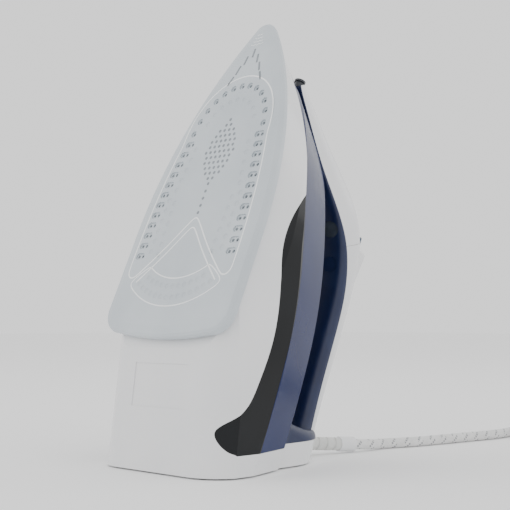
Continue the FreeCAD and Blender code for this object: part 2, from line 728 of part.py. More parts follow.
def make_panel(side):
    """Dark glossy panel in one side of the body."""
    half = block(0, BIG, -BIG, BIG, -BIG, BIG) if side > 0 else block(-BIG, 0, -BIG, BIG, -BIG, BIG)
    return body_shell.common(side_zone).common(half)


def filler(margin):
    """Upright way of the water below the filling door, larger by the margin."""
    y = door_frame()[0].y
    return block(-6.6 - margin, 6.6 + margin, y - 6.5 - margin, y + 6.5 + margin, 40, 112)


def make_tank():
    """Blue water tank, which is the upper half of the body."""
    wall, seam, fit = size("wall"), size("seam"), size("fit")
    shell = outer_body.common(slab(size("heel_band") + seam, BIG)).cut(below(shifted(BELT_LINE, seam)))
    shell = shell.cut(arch_whole).cut(dial_seat(0.0))
    spindle = size("spindle_radius") + size("gap")
    bulkhead = size("tank_bulkhead")
    water = inner_body.common(before(bulkhead)).cut(below(shifted(BELT_LINE, wall)))
    water = water.cut(arch(True, True, wall)).cut(dial_seat(wall))
    water = water.cut(rod(spindle + wall, 0, size("dial_y"), 10, 110))
    bay = inner_body.cut(before(bulkhead + wall))
    ways = [rod(spindle, 0, size("dial_y"), 10, 110), rod(size("rod_radius") + fit, 0, size("rod_y"), 40, 110),
            rod(SEAT_RADIUS + fit, 0, size("rod_y"), 0, 40), filler(0.0).common(before(-150)), burst_path(0.1),
            dip_path(0.1)]
    return shell.cut(water).cut(bay).cut(Part.makeCompound(ways))


def door_frame():
    """Middle of the filling door, the direction up the nose and the direction out of it."""
    low, middle, high = rib(2)[1], rib(3)[1], rib(4)[1]
    slope = (high - low).normalize()
    return middle, slope, Vector(0, -slope.z, slope.y)


def door_block(margin, depth, low=0.0, high=0.0):
    """Block over the filling door's outline; low and high lengthen it down and up the nose."""
    middle, slope, out = door_frame()
    length = size("door_length") + low + high
    point = middle + slope * ((high - low) / 2)
    return tilt_block(point, out, size("door_width") + 2 * margin, depth, length + 2 * margin)


def hinge_point():
    """Axis of the filling door's hinge."""
    middle, slope, out = door_frame()
    return middle - slope * (size("door_length") / 2 - 2.0) - out * 0.9


def hinge_rod(radius, x0, x1):
    """A cylinder about the filling door's hinge axis."""
    return Part.makeCylinder(radius, x1 - x0, hinge_point() + Vector(x0, 0, 0), Vector(1, 0, 0))


KNUCKLE, EAR = 5.0, 8.8         # half widths of the door's knuckle and of the hinge's ears
DOOR_OUT, DOOR_IN = 0.7, 1.0    # the door's faces, out of and into the nose's surface


def seam_block(shift=0.0):
    """Everything behind the seam between nose cover and handle shell."""
    foot, top, half, depth = rib(6)
    return behind(foot, top, 2.5 + shift)


def nozzle_height():
    return size("nose_z") + 5.2


def make_nose_cover():
    """White cover over the nose, with the filling door's seat and the steam knob's slot."""
    gap = size("gap")
    cover = arch_upper.cut(upper_hollow).cut(seam_block())
    pocket = door_block(gap, 30.0).cut(arch(True, True, -DOOR_IN - gap))
    ears = [hinge_rod(1.9, KNUCKLE + gap, EAR), hinge_rod(1.9, -EAR, -KNUCKLE - gap)]
    cover = cover.cut(pocket).fuse(ears).cut(hinge_rod(1.9, -KNUCKLE - gap, KNUCKLE + gap))
    reach, travel = size("knob_reach"), math.radians(size("travel_turn"))
    side = STEM + gap + (reach + STEM) * math.sin(travel)
    y = size("rod_y")
    slot = block(-side, side, y + (reach - STEM) * math.cos(travel) - STEM * math.sin(travel) - gap,
                 y + reach + STEM + 2 * gap, 112, 160)
    z = nozzle_height()
    nozzle = Part.makeCylinder(NOZZLE_BARREL + size("contact"), 12, Vector(0, -214, z), Vector(0, 1, 0))
    channel = Part.makeCylinder(1.0, 24, Vector(0, -203, z), Vector(0, 0.7, 0.71))
    pin = hinge_rod(PIN_RADIUS + size("contact"), -EAR - 1, EAR + 1)
    return cover.cut(Part.makeCompound([slot, filler(0.0).common(before(-160)), nozzle, pin])).cut(channel)


STEM = 2.0              # half width of the steam knob's stem
NOZZLE_BARREL = 3.1
PIN_RADIUS = 0.8
FIN_TILT = math.radians(7.1)
FIN_OUT = Vector(0, math.sin(FIN_TILT), math.cos(FIN_TILT))


def fin_middle():
    """Middle of the raised face round the buttons."""
    return Vector(0, size("button_y"), size("handle_top") + 3.6)


def button_block(x, length, width, low, high):
    """A block square to the buttons' face, from low to high above it."""
    point = fin_middle() + FIN_OUT * ((low + high) / 2) + Vector(x, 0, 0)
    return tilt_block(point, FIN_OUT, width, high - low, length)


def make_fin():
    """Raised white surround of the two buttons."""
    half = size("button_spread") + size("button_width") / 2 + 2.4
    fin = button_block(0, size("button_length") + 6.0, 2 * half, -11.0, 0.0)
    upright = [e for e in fin.Edges if abs(e.tangentAt(e.FirstParameter).dot(FIN_OUT)) > 0.9]
    fin = fin.makeFillet(3.0, upright)
    rim = [e for e in fin.Edges if all((v.Point - fin_middle()).dot(FIN_OUT) > -0.01 for v in e.Vertexes)]
    return fin.makeFillet(1.0, rim)


def stern_split():
    """Height of the seam between handle shell and grip at the rear pillar."""
    return rib(10)[0].z


def make_handle_shell():
    """White top of the handle, with the surround of the buttons."""
    shell = arch_upper.common(seam_block(size("seam")))
    shell = shell.fuse(stern_whole.common(block(-BIG, BIG, -BIG, BIG, stern_split(), BIG))).fuse(make_fin())
    shell = shell.cut(upper_hollow).cut(stern_hollow).common(above_foot)
    clear, length, width = size("gap"), size("button_length"), size("button_width")
    for side in (-1, 1):
        x = side * size("button_spread")
        shell = shell.cut(button_block(x, length + 2 * clear, width + 2 * clear, -14.0, 5.0))
    return shell


LENS_PLACE, LENS_WAY = Vector(16.5, -123.8, 100.3), Vector(0.35, 0.50, -0.79).normalize()
LENS_RADIUS = 5.6
CAP_PLACE, CAP_WAY = Vector(13.5, -102.9, 112.4), Vector(0.30, 0.35, -0.89).normalize()
CAP_RADIUS = 5.4


def plug_disc(place, way, radius, depth, proud):
    """A disc set into the handle's underside, standing a little proud of it."""
    return Part.makeCylinder(radius, depth + proud, place - way * depth, way)


def make_grip():
    """Blue underside of the handle and its rear pillar."""
    low = block(-BIG, BIG, -BIG, BIG, -BIG, stern_split() - size("seam"))
    rear = outer_body.cut(before(-60))
    grip = arch(False, True).fuse(stern_whole.common(low)).cut(rear).cut(arch_hollow).cut(stern_hollow)
    grip = grip.cut(arch(True, False, size("contact"))).common(above_foot)
    pockets = [plug_disc(LENS_PLACE, LENS_WAY, LENS_RADIUS + size("contact"), 4, 6),
               plug_disc(CAP_PLACE, CAP_WAY, CAP_RADIUS + size("contact"), 2, 6),
               rod(size("rod_radius") + 1.0, 0, size("rod_y"), 40, 95), filler(0.0).common(before(-160)),
               dip_path(0.4), burst_path(0.4)]
    return grip.cut(Part.makeCompound(pockets))


def make_rear_cover():
    """White foot under the handle and plate that closes the heel; the iron stands on it."""
    lift, wall, gap = size("heel_lift"), size("wall"), size("gap")
    form = stern_whole.fuse(arch(True, True, first=9))
    foot = form.common(slab(lift, size("foot_band"))).cut(outer_body)
    foot = foot.cut(stern_hollow.common(slab(lift + wall, BIG)))
    socket = ball(gap + 1.8).common(form).common(slab(lift, size("foot_band")))
    plate = body_form(wall + size("seam")).common(slab(lift, lift + wall))
    pad = body_form(7.0).fuse(stern_form(5.0)).common(slab(0.0, lift + 0.5))
    x, y = COVER_SCREW
    boss = standing(rod(6.0, x, y, lift, 10.0))
    cover = foot.fuse([plate, pad, socket, boss])
    bores = [standing(rod(size("head_radius") + gap, x, y, -1, 5.0)),
             standing(rod(size("screw_radius") + size("contact"), x, y, 0, 12)), ball(gap), guard_passage(),
             lead_passage()]
    return cover.cut(Part.makeCompound(bores[:2])).cut(bores[2]).cut(bores[3]).cut(bores[4])


# ---------------------------------------------------------------- filling door, knob, buttons and pumps

def make_door():
    """Filling door: a plate that follows the nose, its hinge knuckle and a finger tab."""
    gap = size("gap")
    middle, slope, out = door_frame()
    skin = arch(True, True, DOOR_OUT).cut(arch(True, True, -DOOR_IN))
    plate = door_block(0.0, 14.0).common(skin).cut(hinge_rod(1.9 + gap, -BIG, BIG)).cut(
        tilt_block(hinge_point() - slope * 50, out, BIG, BIG, 100))
    point = hinge_point() + slope * 1.6
    arm = tilt_block(point, out, 2 * KNUCKLE, 1.2, 2.6)
    tab = tilt_block(middle + slope * (size("door_length") / 2 + 1.2) + out * 1.9, out, 12.0, 1.6, 7.0)
    return plate.fuse([hinge_rod(1.6, -KNUCKLE, KNUCKLE), arm, tab]).cut(
        hinge_rod(PIN_RADIUS + size("fit"), -BIG, BIG))


def make_funnel():
    """Funnel from the filling door down to the tank."""
    return filler(1.3).common(arch(True, False, -size("wall") - 0.2)).cut(filler(0.0))


def make_steam_knob():
    """Hub on the valve rod, arm, stem and the knob that shows above the nose."""
    y, reach, high = size("rod_y"), size("knob_reach"), 104.0
    hub = rod(5.0, 0, y, 95.5, high)
    arm = block(-STEM, STEM, y, y + reach + STEM, 100.0, high)
    stem = block(-STEM, STEM, y + reach - STEM, y + reach + STEM, 100.0, knob_floor() + 2)
    half = size("knob_half")
    knob = block(-half, half, y + reach - 3.0, y + reach + 3.2, knob_floor(), knob_floor() + 11.5)
    knob = knob.makeFillet(1.4, [e for e in knob.Edges if e.BoundBox.ZMin > knob_floor() + 1])
    return hub.fuse([arm, stem, knob]).cut(rod(size("rod_radius") + size("contact"), 0, y, 90, high - 1.5))


def knob_floor():
    """Underside of the steam knob, just above the nose."""
    foot, top, half, depth = rib(6)
    return top.z + 1.2


def pump_foot():
    """Side-view place of the pumps' lower ends."""
    foot = fin_middle() - FIN_OUT * 26.5
    return foot.y, foot.z


def slide(radius, x, low, high):
    """A cylinder along the buttons' travel, from low to high above their face."""
    return Part.makeCylinder(radius, high - low, fin_middle() + Vector(x, 0, 0) + FIN_OUT * low, FIN_OUT)


def make_pumps():
    """Body of the two pumps, standing on the handle's floor."""
    spread = size("button_spread")
    fitted = arch(True, True, -size("wall") - size("contact"))
    y, z = pump_foot()
    foot = block(-11.0, 11.0, y - 4.0, y + 11.0, z - 12, z + 2.0).common(fitted)
    barrels = [slide(size("pump_radius"), side * spread, -26.5, -14.0) for side in (-1, 1)]
    web = button_block(0, 4.0, 2 * spread, -26.5, -18.0)
    body = foot.fuse(barrels + [web])
    bores = [slide(size("piston_radius") + size("fit"), side * spread, -25.3, -10.0) for side in (-1, 1)]
    hoses = [pump_hose(side, size("contact")) for side in (-1, 1)]
    return body.cut(Part.makeCompound(bores)).cut(Part.makeCompound(hoses))


def make_button(side):
    """One button, its top slightly dished along its length."""
    x = side * size("button_spread")
    cap = button_block(x, size("button_length"), size("button_width"), -6.0, 1.4)
    upright = [e for e in cap.Edges if abs(e.tangentAt(e.FirstParameter).dot(FIN_OUT)) > 0.9]
    cap = cap.makeFillet(2.6, upright)
    rim = [e for e in cap.Edges if all((v.Point - fin_middle()).dot(FIN_OUT) > 1.3 for v in e.Vertexes)]
    return cap.makeFillet(0.9, rim)


# ---------------------------------------------------------------- mains cord

COIL = Vector(78.0, 320.0, 0.0)     # middle of the stored coil, on the floor
ROUTE = [(14.9, 127.3, 4.5), (13.0, 146.0, 3.7), (20.6, 169.0, 3.6), (25.2, 204.0, 3.6), (28.6, 236.5, 3.6),
         (31.6, 264.0, 3.6)]


def guard_end():
    """Where the cord leaves the collar, standing."""
    reach = size("guard_length") + size("collar_length")
    return Vector(0, size("ball_reach"), size("ball_height")) + GUARD_WAY * reach


def coil_outer():
    """Outer radius of the stored coil."""
    return size("coil_radius") + size("coil_turns") * size("cord_diameter") / 2


def cord_points():
    """The cord's route on the floor, from the collar to the coil's rim."""
    start = guard_end() + GUARD_WAY * size("gap")
    rim = coil_outer() - size("cord_diameter") / 2
    end = COIL + Vector(-rim, -4.0, size("cord_diameter") / 2)
    return [start] + [Vector(*p) for p in ROUTE] + [Vector(end.x + 0.3, end.y - 23.0, end.z), end]


def rounded_path(points):
    """Straight runs joined by tangent arcs, each as large as its two runs allow."""
    edges, last = [], points[0]
    for before_point, corner, after_point in zip(points, points[1:], points[2:]):
        into, out = (corner - before_point), (after_point - corner)
        reach = 0.45 * min(into.Length, out.Length)
        into.normalize()
        out.normalize()
        half = into.getAngle(out) / 2
        radius = reach / math.tan(half)
        first, second = corner - into * reach, corner + out * reach
        way = (out - into).normalize()
        middle = corner + way * (radius / math.cos(half) - radius)
        print(f"cord bend radius {radius:.0f}")
        edges += [Part.LineSegment(last, first).toShape(), Part.Arc(first, middle, second).toShape()]
        last = second
    edges.append(Part.LineSegment(last, points[-1]).toShape())
    return Part.Wire(edges)


def make_cord():
    """The stretch of cord from the collar to the coil, less what the coil itself holds."""
    path = rounded_path(cord_points())
    radius = size("cord_diameter") / 2
    start = path.Edges[0]
    section = Part.Wire(Part.makeCircle(radius, start.valueAt(start.FirstParameter),
                                        start.tangentAt(start.FirstParameter)))
    tube = path.makePipeShell([section], True, False)
    print(f"cord tube {tube.Volume:.0f} against {math.pi * radius ** 2 * path.Length:.0f}, {path.Length:.0f} long")
    return tube.cut(coil_form(size("contact")))


def coil_form(extra):
    """Outer shape of the stored coil: a ring two turns high with rounded edges."""
    outer, inner = coil_outer() + extra, 2 * size("coil_radius") - coil_outer() - extra
    height, corner = 2 * size("cord_diameter") + extra, 3.0
    face = Part.makePolygon([Vector(inner, 0, 0), Vector(outer, 0, 0), Vector(outer, 0, height),
                             Vector(inner, 0, height), Vector(inner, 0, 0)])
    ring = Part.Face(face).revolve(Vector(0, 0, 0), Vector(0, 0, 1), 360)
    ring = ring.makeFillet(corner, [e for e in ring.Edges if e.Closed])
    ring.translate(COIL)
    return ring


def tie_form():
    """Strap over the stored coil, standing."""
    height, wall, half = 2 * size("cord_diameter"), 0.9, 4.0
    inner, outer = 2 * size("coil_radius") - coil_outer(), coil_outer()
    strap = block(inner - 0.5 - wall, outer + 0.1 + wall, -half, half, 0.2, height + 0.1 + wall)
    strap = strap.cut(block(inner - 0.5, outer + 0.1, -half - 1, half + 1, -1, height + 0.1))
    strap.translate(COIL)
    return strap


def make_plug():
    """Moulded plug lying beside the coil, with its strain relief."""
    length, width, height = size("plug_length"), size("plug_width"), 3 * size("cord_diameter") - 0.2
    x, y, z = plug_place()
    body = block(x - width / 2, x + width / 2, y - length, y, 0.1, 0.1 + height)
    body = body.makeFillet(5.0, [e for e in body.Edges if abs(e.tangentAt(e.FirstParameter).y) > 0.9])
    body = body.makeFillet(2.0, [e for e in body.Edges if abs(e.BoundBox.YMax - y) < 0.01])
    relief = Part.makeCone(6.2, size("cord_diameter") / 2 + 0.7, 26.0, Vector(x, y - 0.5, z), Vector(0, 1, 0))
    return body.fuse(relief).cut(coil_form(size("contact")))


def plug_place():
    """Middle of the plug's rear face, standing."""
    reach = coil_outer() - size("cord_diameter") - 5.0
    return COIL.x + reach, COIL.y - 60.0, 1.5 * size("cord_diameter")


# ---------------------------------------------------------------- the pieces

feature("soleplate", make_soleplate())
feature("heating_element", make_element())
feature("steam_chamber", make_chamber())
feature("chamber_cover", make_chamber_cover())
feature("heat_shield", make_heat_shield())


def screw(name, shank, x, y, z):
    """A screw whose head stands on z; its shank hangs below."""
    head = cylinder(name + "_head", "Sizes.head_radius", "Sizes.head_height", x=x, y=y, z=z)
    shaft = cylinder(name + "_shank", "Sizes.screw_radius", shank, x=x, y=y, z=z, axis=Vector(0, 0, -1))
    slot = box(name + "_slot", "Sizes.head_radius * 1.2", "0.8", "1.2", x=x, y=y, z=z + size("head_height") - 0.8)
    return cut(name, fuse(name + "_solid", head, shaft), slot)


head_z = cover_top() + size("contact")
publish(group("chamber_screws", [screw(f"chamber_screw_{i}", "8", x, y, head_z)
                                 for i, (x, y) in enumerate(CHAMBER_SCREWS)]), "chamber_screws")
head_z = SHIELD_Z + size("shield_thick") + size("contact")
publish(group("shield_screws", [screw(f"shield_screw_{i}", "10", side * POST[0], POST[1], head_z)
                                for i, side in enumerate((-1, 1))]), "shield_screws")

seat_low = cover_top() + size("contact")
seat_body = cylinder("seat_body", str(SEAT_RADIUS), "12.8", y=size("rod_y"), z=seat_low)
seat_bore = cylinder("seat_bore", "Sizes.rod_radius + Sizes.fit", "20", y=size("rod_y"), z=seat_low + 2.1)
seat_jet = cylinder("seat_jet", "1.2", "10", y=size("rod_y"), z=seat_low - 1)
publish(cut("valve_seat_solid", seat_body, seat_bore, seat_jet), "valve_seat")
publish(cylinder("rod_solid", "Sizes.rod_radius", "Sizes.rod_length", y=size("rod_y"), z=seat_low + 2.4),
        "valve_rod")

plate_z = chamber_low()
thermostat_base = box("thermostat_base", "28", "20", "8", y=size("dial_y"), z=plate_z)
barrel = cylinder("thermostat_barrel", str(BARREL_RADIUS), "8", y=size("dial_y"), z=plate_z + 7.5)
barrel_bore = cylinder("barrel_bore", "Sizes.spindle_radius + Sizes.fit", "20", y=size("dial_y"), z=plate_z + 3.5)
publish(cut("thermostat_solid", fuse("thermostat_blank", thermostat_base, barrel), barrel_bore), "thermostat")
publish(cylinder("spindle_solid", "Sizes.spindle_radius", "75.5", y=size("dial_y"), z=plate_z + 3.8),
        "dial_spindle")
dial_z = dial_floor() + size("gap")
dial_blank = cylinder("dial_blank", "Sizes.dial_radius", "Sizes.dial_height", y=size("dial_y"), z=dial_z)
dial_bore = cylinder("dial_bore", "Sizes.spindle_radius + Sizes.contact", "Sizes.dial_height - 4",
                     y=size("dial_y"), z=dial_z)
flutes = []
for step in range(24):
    turn = 2 * math.pi * step / 24
    reach = size("dial_radius") + 0.7
    flutes.append(cylinder(f"flute_{step}", "1.5", "Sizes.dial_height", x=reach * math.cos(turn),
                           y=size("dial_y") + reach * math.sin(turn), z=dial_z + 1.5))
publish(cut("dial_solid", dial_blank, dial_bore, *flutes), "temperature_dial")

fuse_body = cylinder("fuse_body", "3.2", "24", x=-16.0, y=-62.0, z=plate_z + 3.3, axis=Vector(0, 1, 0))
fuse_clip = box("fuse_clip", "8", "5", "3.4", x=-16.0, y=-50.0, z=plate_z)
publish(fuse("fuse_solid", fuse_body, fuse_clip), "thermal_fuse")

terminal = box("terminal_solid", "36", "16", "14", y=-30.0, z=size("heel_lift") + size("wall") + size("contact"))
screw_wells = [cylinder(f"terminal_well_{i}", "2.2", "8", x=-12.0 + 8.0 * i, y=-30.0, z=12.0) for i in range(4)]
publish(cut("terminal_cut", terminal, *screw_wells), "terminal_block", Placement())
lead_end = size("ball_reach") - size("ball_radius") - size("gap")
publish(cylinder("lead_solid", "3", str(lead_end + 22 - 0.1), y=-21.9, z=size("ball_height"),
                 axis=Vector(0, 1, 0)), "mains_lead", Placement())
lead_start = ELEMENT_END - 1 + PIN_LENGTH + size("gap")
leads = [hose([(side * element_half(), lead_start, element_height()),
               (side * element_half(), lead_start + 4, element_height()), (side * 36.0, 0, 18), (side * 24.0, 25, 30),
               (side * 16.0, 40, 42), (side * 12.0, 47.2, 47.4)], 1.3) for side in (-1, 1)]
feature("element_leads", Part.makeCompound(leads))

feature("base_shell", make_base_shell())
feature("side_panel_right", make_panel(1))
feature("side_panel_left", make_panel(-1))
feature("water_tank", make_tank())
feature("nose_cover", make_nose_cover())
feature("fill_funnel", make_funnel())
feature("handle_shell", make_handle_shell())
feature("handle_grip", make_grip())
feature("rear_cover", make_rear_cover())
publish(screw("cover_screw_solid", "10", COVER_SCREW[0], -COVER_SCREW[1], 0.0), "rear_cover_screw",
        Placement(Vector(0, 0, 5.0), Rotation(Vector(1, 0, 0), 180)))

feature("fill_door", make_door())
hinge = hinge_point()
publish(cylinder("door_pin_solid", str(PIN_RADIUS), str(2 * EAR - 0.4), x=-EAR + 0.2, y=hinge.y, z=hinge.z,
                 axis=Vector(1, 0, 0)), "fill_door_pin")
nozzle_z = nozzle_height()
nozzle_barrel = cylinder("nozzle_barrel", str(NOZZLE_BARREL), "10.7", y=-213.0, z=nozzle_z, axis=Vector(0, 1, 0))
nozzle_flange = cylinder("nozzle_flange", "4", "1.5", y=-213.0, z=nozzle_z, axis=Vector(0, 1, 0))
nozzle_bore = cylinder("nozzle_bore", "0.6", "20", y=-215.0, z=nozzle_z, axis=Vector(0, 1, 0))
publish(cut("nozzle_solid", fuse("nozzle_blank", nozzle_barrel, nozzle_flange), nozzle_bore), "spray_nozzle")
feature("spray_tube", hose([(13.1, -114.5, 119.0), (13.7, -121.0, 114.8), (14.0, -131.0, 108.0),
                            (13.5, -145.0, 97.0), (12.5, -158.0, 84.5), (11.5, -170.0, 73.5),
                            (9.0, -181.0, 64.5), (4.0, -187.5, 60.5), (0.6, -188.8, 59.6)], size("hose_radius")))
feature("pickup_tube", pump_hose(1).fuse(rod(size("hose_radius"), HOSE_X, HOSE_Y, 39, 81)))
feature("burst_tube", pump_hose(-1).fuse(rod(size("hose_radius"), -HOSE_X, HOSE_Y, cover_top() - 2, 81)))
feature("steam_knob", make_steam_knob())

feature("pump_body", make_pumps())
for name, side in (("spray", 1), ("burst", -1)):
    feature(f"{name}_button", make_button(side))
    feature(f"{name}_piston", slide(size("piston_radius"), side * size("button_spread"), -21.3,
                                    -6.0 - size("contact")))
feature("indicator_lens", plug_disc(LENS_PLACE, LENS_WAY, LENS_RADIUS, 3.5, 0.5))
feature("screw_cap", plug_disc(CAP_PLACE, CAP_WAY, CAP_RADIUS, 1.7, 0.3))

guard = Placement(Vector(0, size("ball_reach"), size("ball_height")), Rotation(Vector(0, 0, 1), GUARD_WAY))
guard_ball = bind(doc.addObject("Part::Sphere", "guard_ball"), Radius="Sizes.ball_radius")
guard_sleeve = cylinder("guard_sleeve", "Sizes.guard_radius", "Sizes.guard_length")
guard_flat = cylinder("guard_flat", "Sizes.ball_radius + 1", "5", z=-size("ball_radius") - 4.0)
grooves = []
for step in range(5):
    groove = bind(doc.addObject("Part::Torus", f"groove_{step}"), Radius1="Sizes.guard_radius", Radius2="0.9")
    groove.Placement = Placement(Vector(0, 0, 12.0 + 7.0 * step), Rotation(45.0, 12.0, 0.0))
    grooves.append(groove)
publish(cut("guard_solid", fuse("guard_blank", guard_ball, guard_sleeve), guard_flat, *grooves), "cord_guard",
        guard)
publish(cylinder("collar_solid", "Sizes.collar_radius", "Sizes.collar_length", z=size("guard_length")),
        "guard_collar", guard)
feature("mains_cord", make_cord(), Placement())
feature("cord_coil", coil_form(0.0), Placement())
feature("cord_tie", tie_form(), Placement())
feature("plug_body", make_plug(), Placement())
plug_x, plug_y, plug_z = plug_place()
blades = [box(f"blade_{i}", "1.5", "16", "6.35", x=plug_x + side * size("blade_pitch") / 2,
              y=plug_y - size("plug_length") - 8.0 - size("contact"), z=plug_z - 3.2) for i, side in
          enumerate((-1, 1))]
publish(group("blades", blades), "plug_pins", Placement())

doc.recompute()
faults = [item.Label for item in doc.Objects if "Invalid" in item.State or "Error" in item.State]
faults += [item.Label for item in NODES if item.Shape.isNull() or not item.Shape.isValid()]
if faults:
    raise SystemExit("faulty objects: " + ", ".join(faults))
os.makedirs("parts", exist_ok=True)
for item in NODES:
    item.Shape.exportStep(f"parts/{item.Label}.step")
print(len(NODES), "pieces written")
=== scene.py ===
"""Looks of a steam iron that stands on its heel rest, with its braided mains lead on the floor beside it."""

import logging
import math
from dataclasses import dataclass, field
from enum import Enum

import bmesh
import bpy
from mathutils import Matrix, Vector


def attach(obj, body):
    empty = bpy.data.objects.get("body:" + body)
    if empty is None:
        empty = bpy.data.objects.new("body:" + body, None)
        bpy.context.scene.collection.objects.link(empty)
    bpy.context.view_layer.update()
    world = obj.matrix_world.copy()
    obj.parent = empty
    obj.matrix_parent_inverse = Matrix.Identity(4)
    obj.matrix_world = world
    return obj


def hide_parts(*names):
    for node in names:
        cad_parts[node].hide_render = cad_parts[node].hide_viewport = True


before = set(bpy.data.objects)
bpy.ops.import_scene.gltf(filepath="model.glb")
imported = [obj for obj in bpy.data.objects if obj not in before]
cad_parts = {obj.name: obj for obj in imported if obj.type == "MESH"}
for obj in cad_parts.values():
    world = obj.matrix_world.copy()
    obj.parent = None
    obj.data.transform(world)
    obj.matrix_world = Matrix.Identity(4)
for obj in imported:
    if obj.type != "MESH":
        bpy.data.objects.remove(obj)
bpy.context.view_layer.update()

LOG = logging.getLogger("iron")
MM = 0.001

# The part of a noise's range that its colours and gloss spread over.
COLOUR_FROM, COLOUR_TO = 0.35, 0.65
GLOSS_FROM, GLOSS_TO = 0.3, 0.7
# The gloss varies in smaller patches than the colour, by this share.
SMEAR_SHARE = 0.35

# Where the iron's own lying frame (x across, y to the heel, z up from the sole, in mm) stands in the row frame.
LEAN = math.radians(24.2)
REST_Y = 52.6
REST_Z = 85.1


def standing() -> Matrix:
    """The matrix from the lying frame in millimetres to the row frame in metres."""
    sine, cosine = math.sin(LEAN), math.cos(LEAN)
    return Matrix((
        (MM, 0, 0, 0),
        (0, -sine * MM, cosine * MM, (sine * REST_Y - cosine * REST_Z) * MM),
        (0, -cosine * MM, -sine * MM, (cosine * REST_Y + sine * REST_Z) * MM),
        (0, 0, 0, 1),
    ))


def linear(code: str) -> tuple[float, float, float, float]:
    """Turns an sRGB hex colour to linear.

    Args:
        code: six hex digits after a hash sign.

    Returns:
        Linear red, green, blue and an alpha of one.
    """
    parts = [int(code[at:at + 2], 16) / 255 for at in (1, 3, 5)]
    red, green, blue = (c / 12.92 if c <= 0.04045 else ((c + 0.055) / 1.055) ** 2.4 for c in parts)
    return red, green, blue, 1.0


def add_node(tree: bpy.types.NodeTree, kind: str, values: dict | None = None, links: dict | None = None,
             **settings) -> bpy.types.Node:
    """Adds a shader node.

    Args:
        tree: the node tree that gets it.
        kind: the node's type name without the ShaderNode in front.
        values: constants by input name or number.
        links: output sockets by input name or number.
        settings: the node's own properties.

    Returns:
        The new node.
    """
    node = tree.nodes.new("ShaderNode" + kind)
    for name, value in settings.items():
        setattr(node, name, value)
    for name, value in (values or {}).items():
        node.inputs[name].default_value = value
    for name, socket in (links or {}).items():
        tree.links.new(socket, node.inputs[name])
    return node


@dataclass(frozen=True)
class Finish:
    """What all finishes share: a name, two near colours that drift into each other, and a gloss that varies.

    Attributes:
        name: the real material and how it was made.
        colour: main sRGB colour.
        shade: the sRGB colour that it drifts to.
        roughness: mean roughness of the surface.
        spread: how far the roughness goes up and down.
        drift: size of the slow patches, in mm.
        constants: other constants of the shader, by socket name.
    """

    name: str
    colour: str
    shade: str
    roughness: float
    spread: float = 0.04
    drift: float = 30.0
    constants: dict = field(default_factory=dict)

    def relief(self, tree: bpy.types.NodeTree, place: bpy.types.NodeSocket) -> bpy.types.NodeSocket:
        """The normal of the surface's fine relief.

        Args:
            tree: the material's node tree.
            place: the coordinates to read.

        Returns:
            The normal's socket.
        """
        raise NotImplementedError

    def tint(self, tree: bpy.types.NodeTree, place: bpy.types.NodeSocket) -> bpy.types.NodeSocket:
        """Colour that drifts slowly between the finish's two colours.

        Args:
            tree: the material's node tree.
            place: the coordinates to read.

        Returns:
            The colour socket.
        """
        cloud = add_node(tree, "TexNoise", {"Scale": 1 / (self.drift * MM), "Detail": 3.0}, {"Vector": place})
        ramp = add_node(tree, "ValToRGB", links={"Fac": cloud.outputs[0]})
        stops = ((COLOUR_FROM, self.colour), (COLOUR_TO, self.shade))
        for element, (position, code) in zip(ramp.color_ramp.elements, stops):
            element.position, element.color = position, linear(code)
        return ramp.outputs["Color"]

    def build(self) -> bpy.types.Material:
        """Makes the material.

        Returns:
            The finished material.
        """
        material = bpy.data.materials.new(self.name)
        material.use_nodes = True
        tree = material.node_tree
        shader = tree.nodes["Principled BSDF"]
        place = add_node(tree, "TexCoord").outputs["Object"]
        tree.links.new(self.tint(tree, place), shader.inputs["Base Color"])
        smear = add_node(tree, "TexNoise", {"Scale": 1 / (SMEAR_SHARE * self.drift * MM), "Detail": 5.0},
                         {"Vector": place})
        span = {"From Min": GLOSS_FROM, "From Max": GLOSS_TO, "To Min": self.roughness - self.spread,
                "To Max": self.roughness + self.spread}
        gloss = add_node(tree, "MapRange", span, {"Value": smear.outputs[0]})
        tree.links.new(gloss.outputs[0], shader.inputs["Roughness"])
        for name, value in self.constants.items():
            shader.inputs[name].default_value = value
        tree.links.new(self.relief(tree, place), shader.inputs["Normal"])
        return material


@dataclass(frozen=True)
class Moulded(Finish):
    """Injection-moulded plastic or rubber: spark-eroded grain of a given size and depth, in mm."""

    grain: float = 0.6
    depth: float = 0.006

    def relief(self, tree: bpy.types.NodeTree, place: bpy.types.NodeSocket) -> bpy.types.NodeSocket:
        """Fine pebbled grain; see Finish.relief."""
        pebble = add_node(tree, "TexNoise", {"Scale": 1 / (self.grain * MM), "Detail": 2.0}, {"Vector": place})
        bump = add_node(tree, "Bump", {"Distance": self.depth * MM, "Strength": 1.0},
                        {"Height": pebble.outputs[0]})
        return bump.outputs[0]


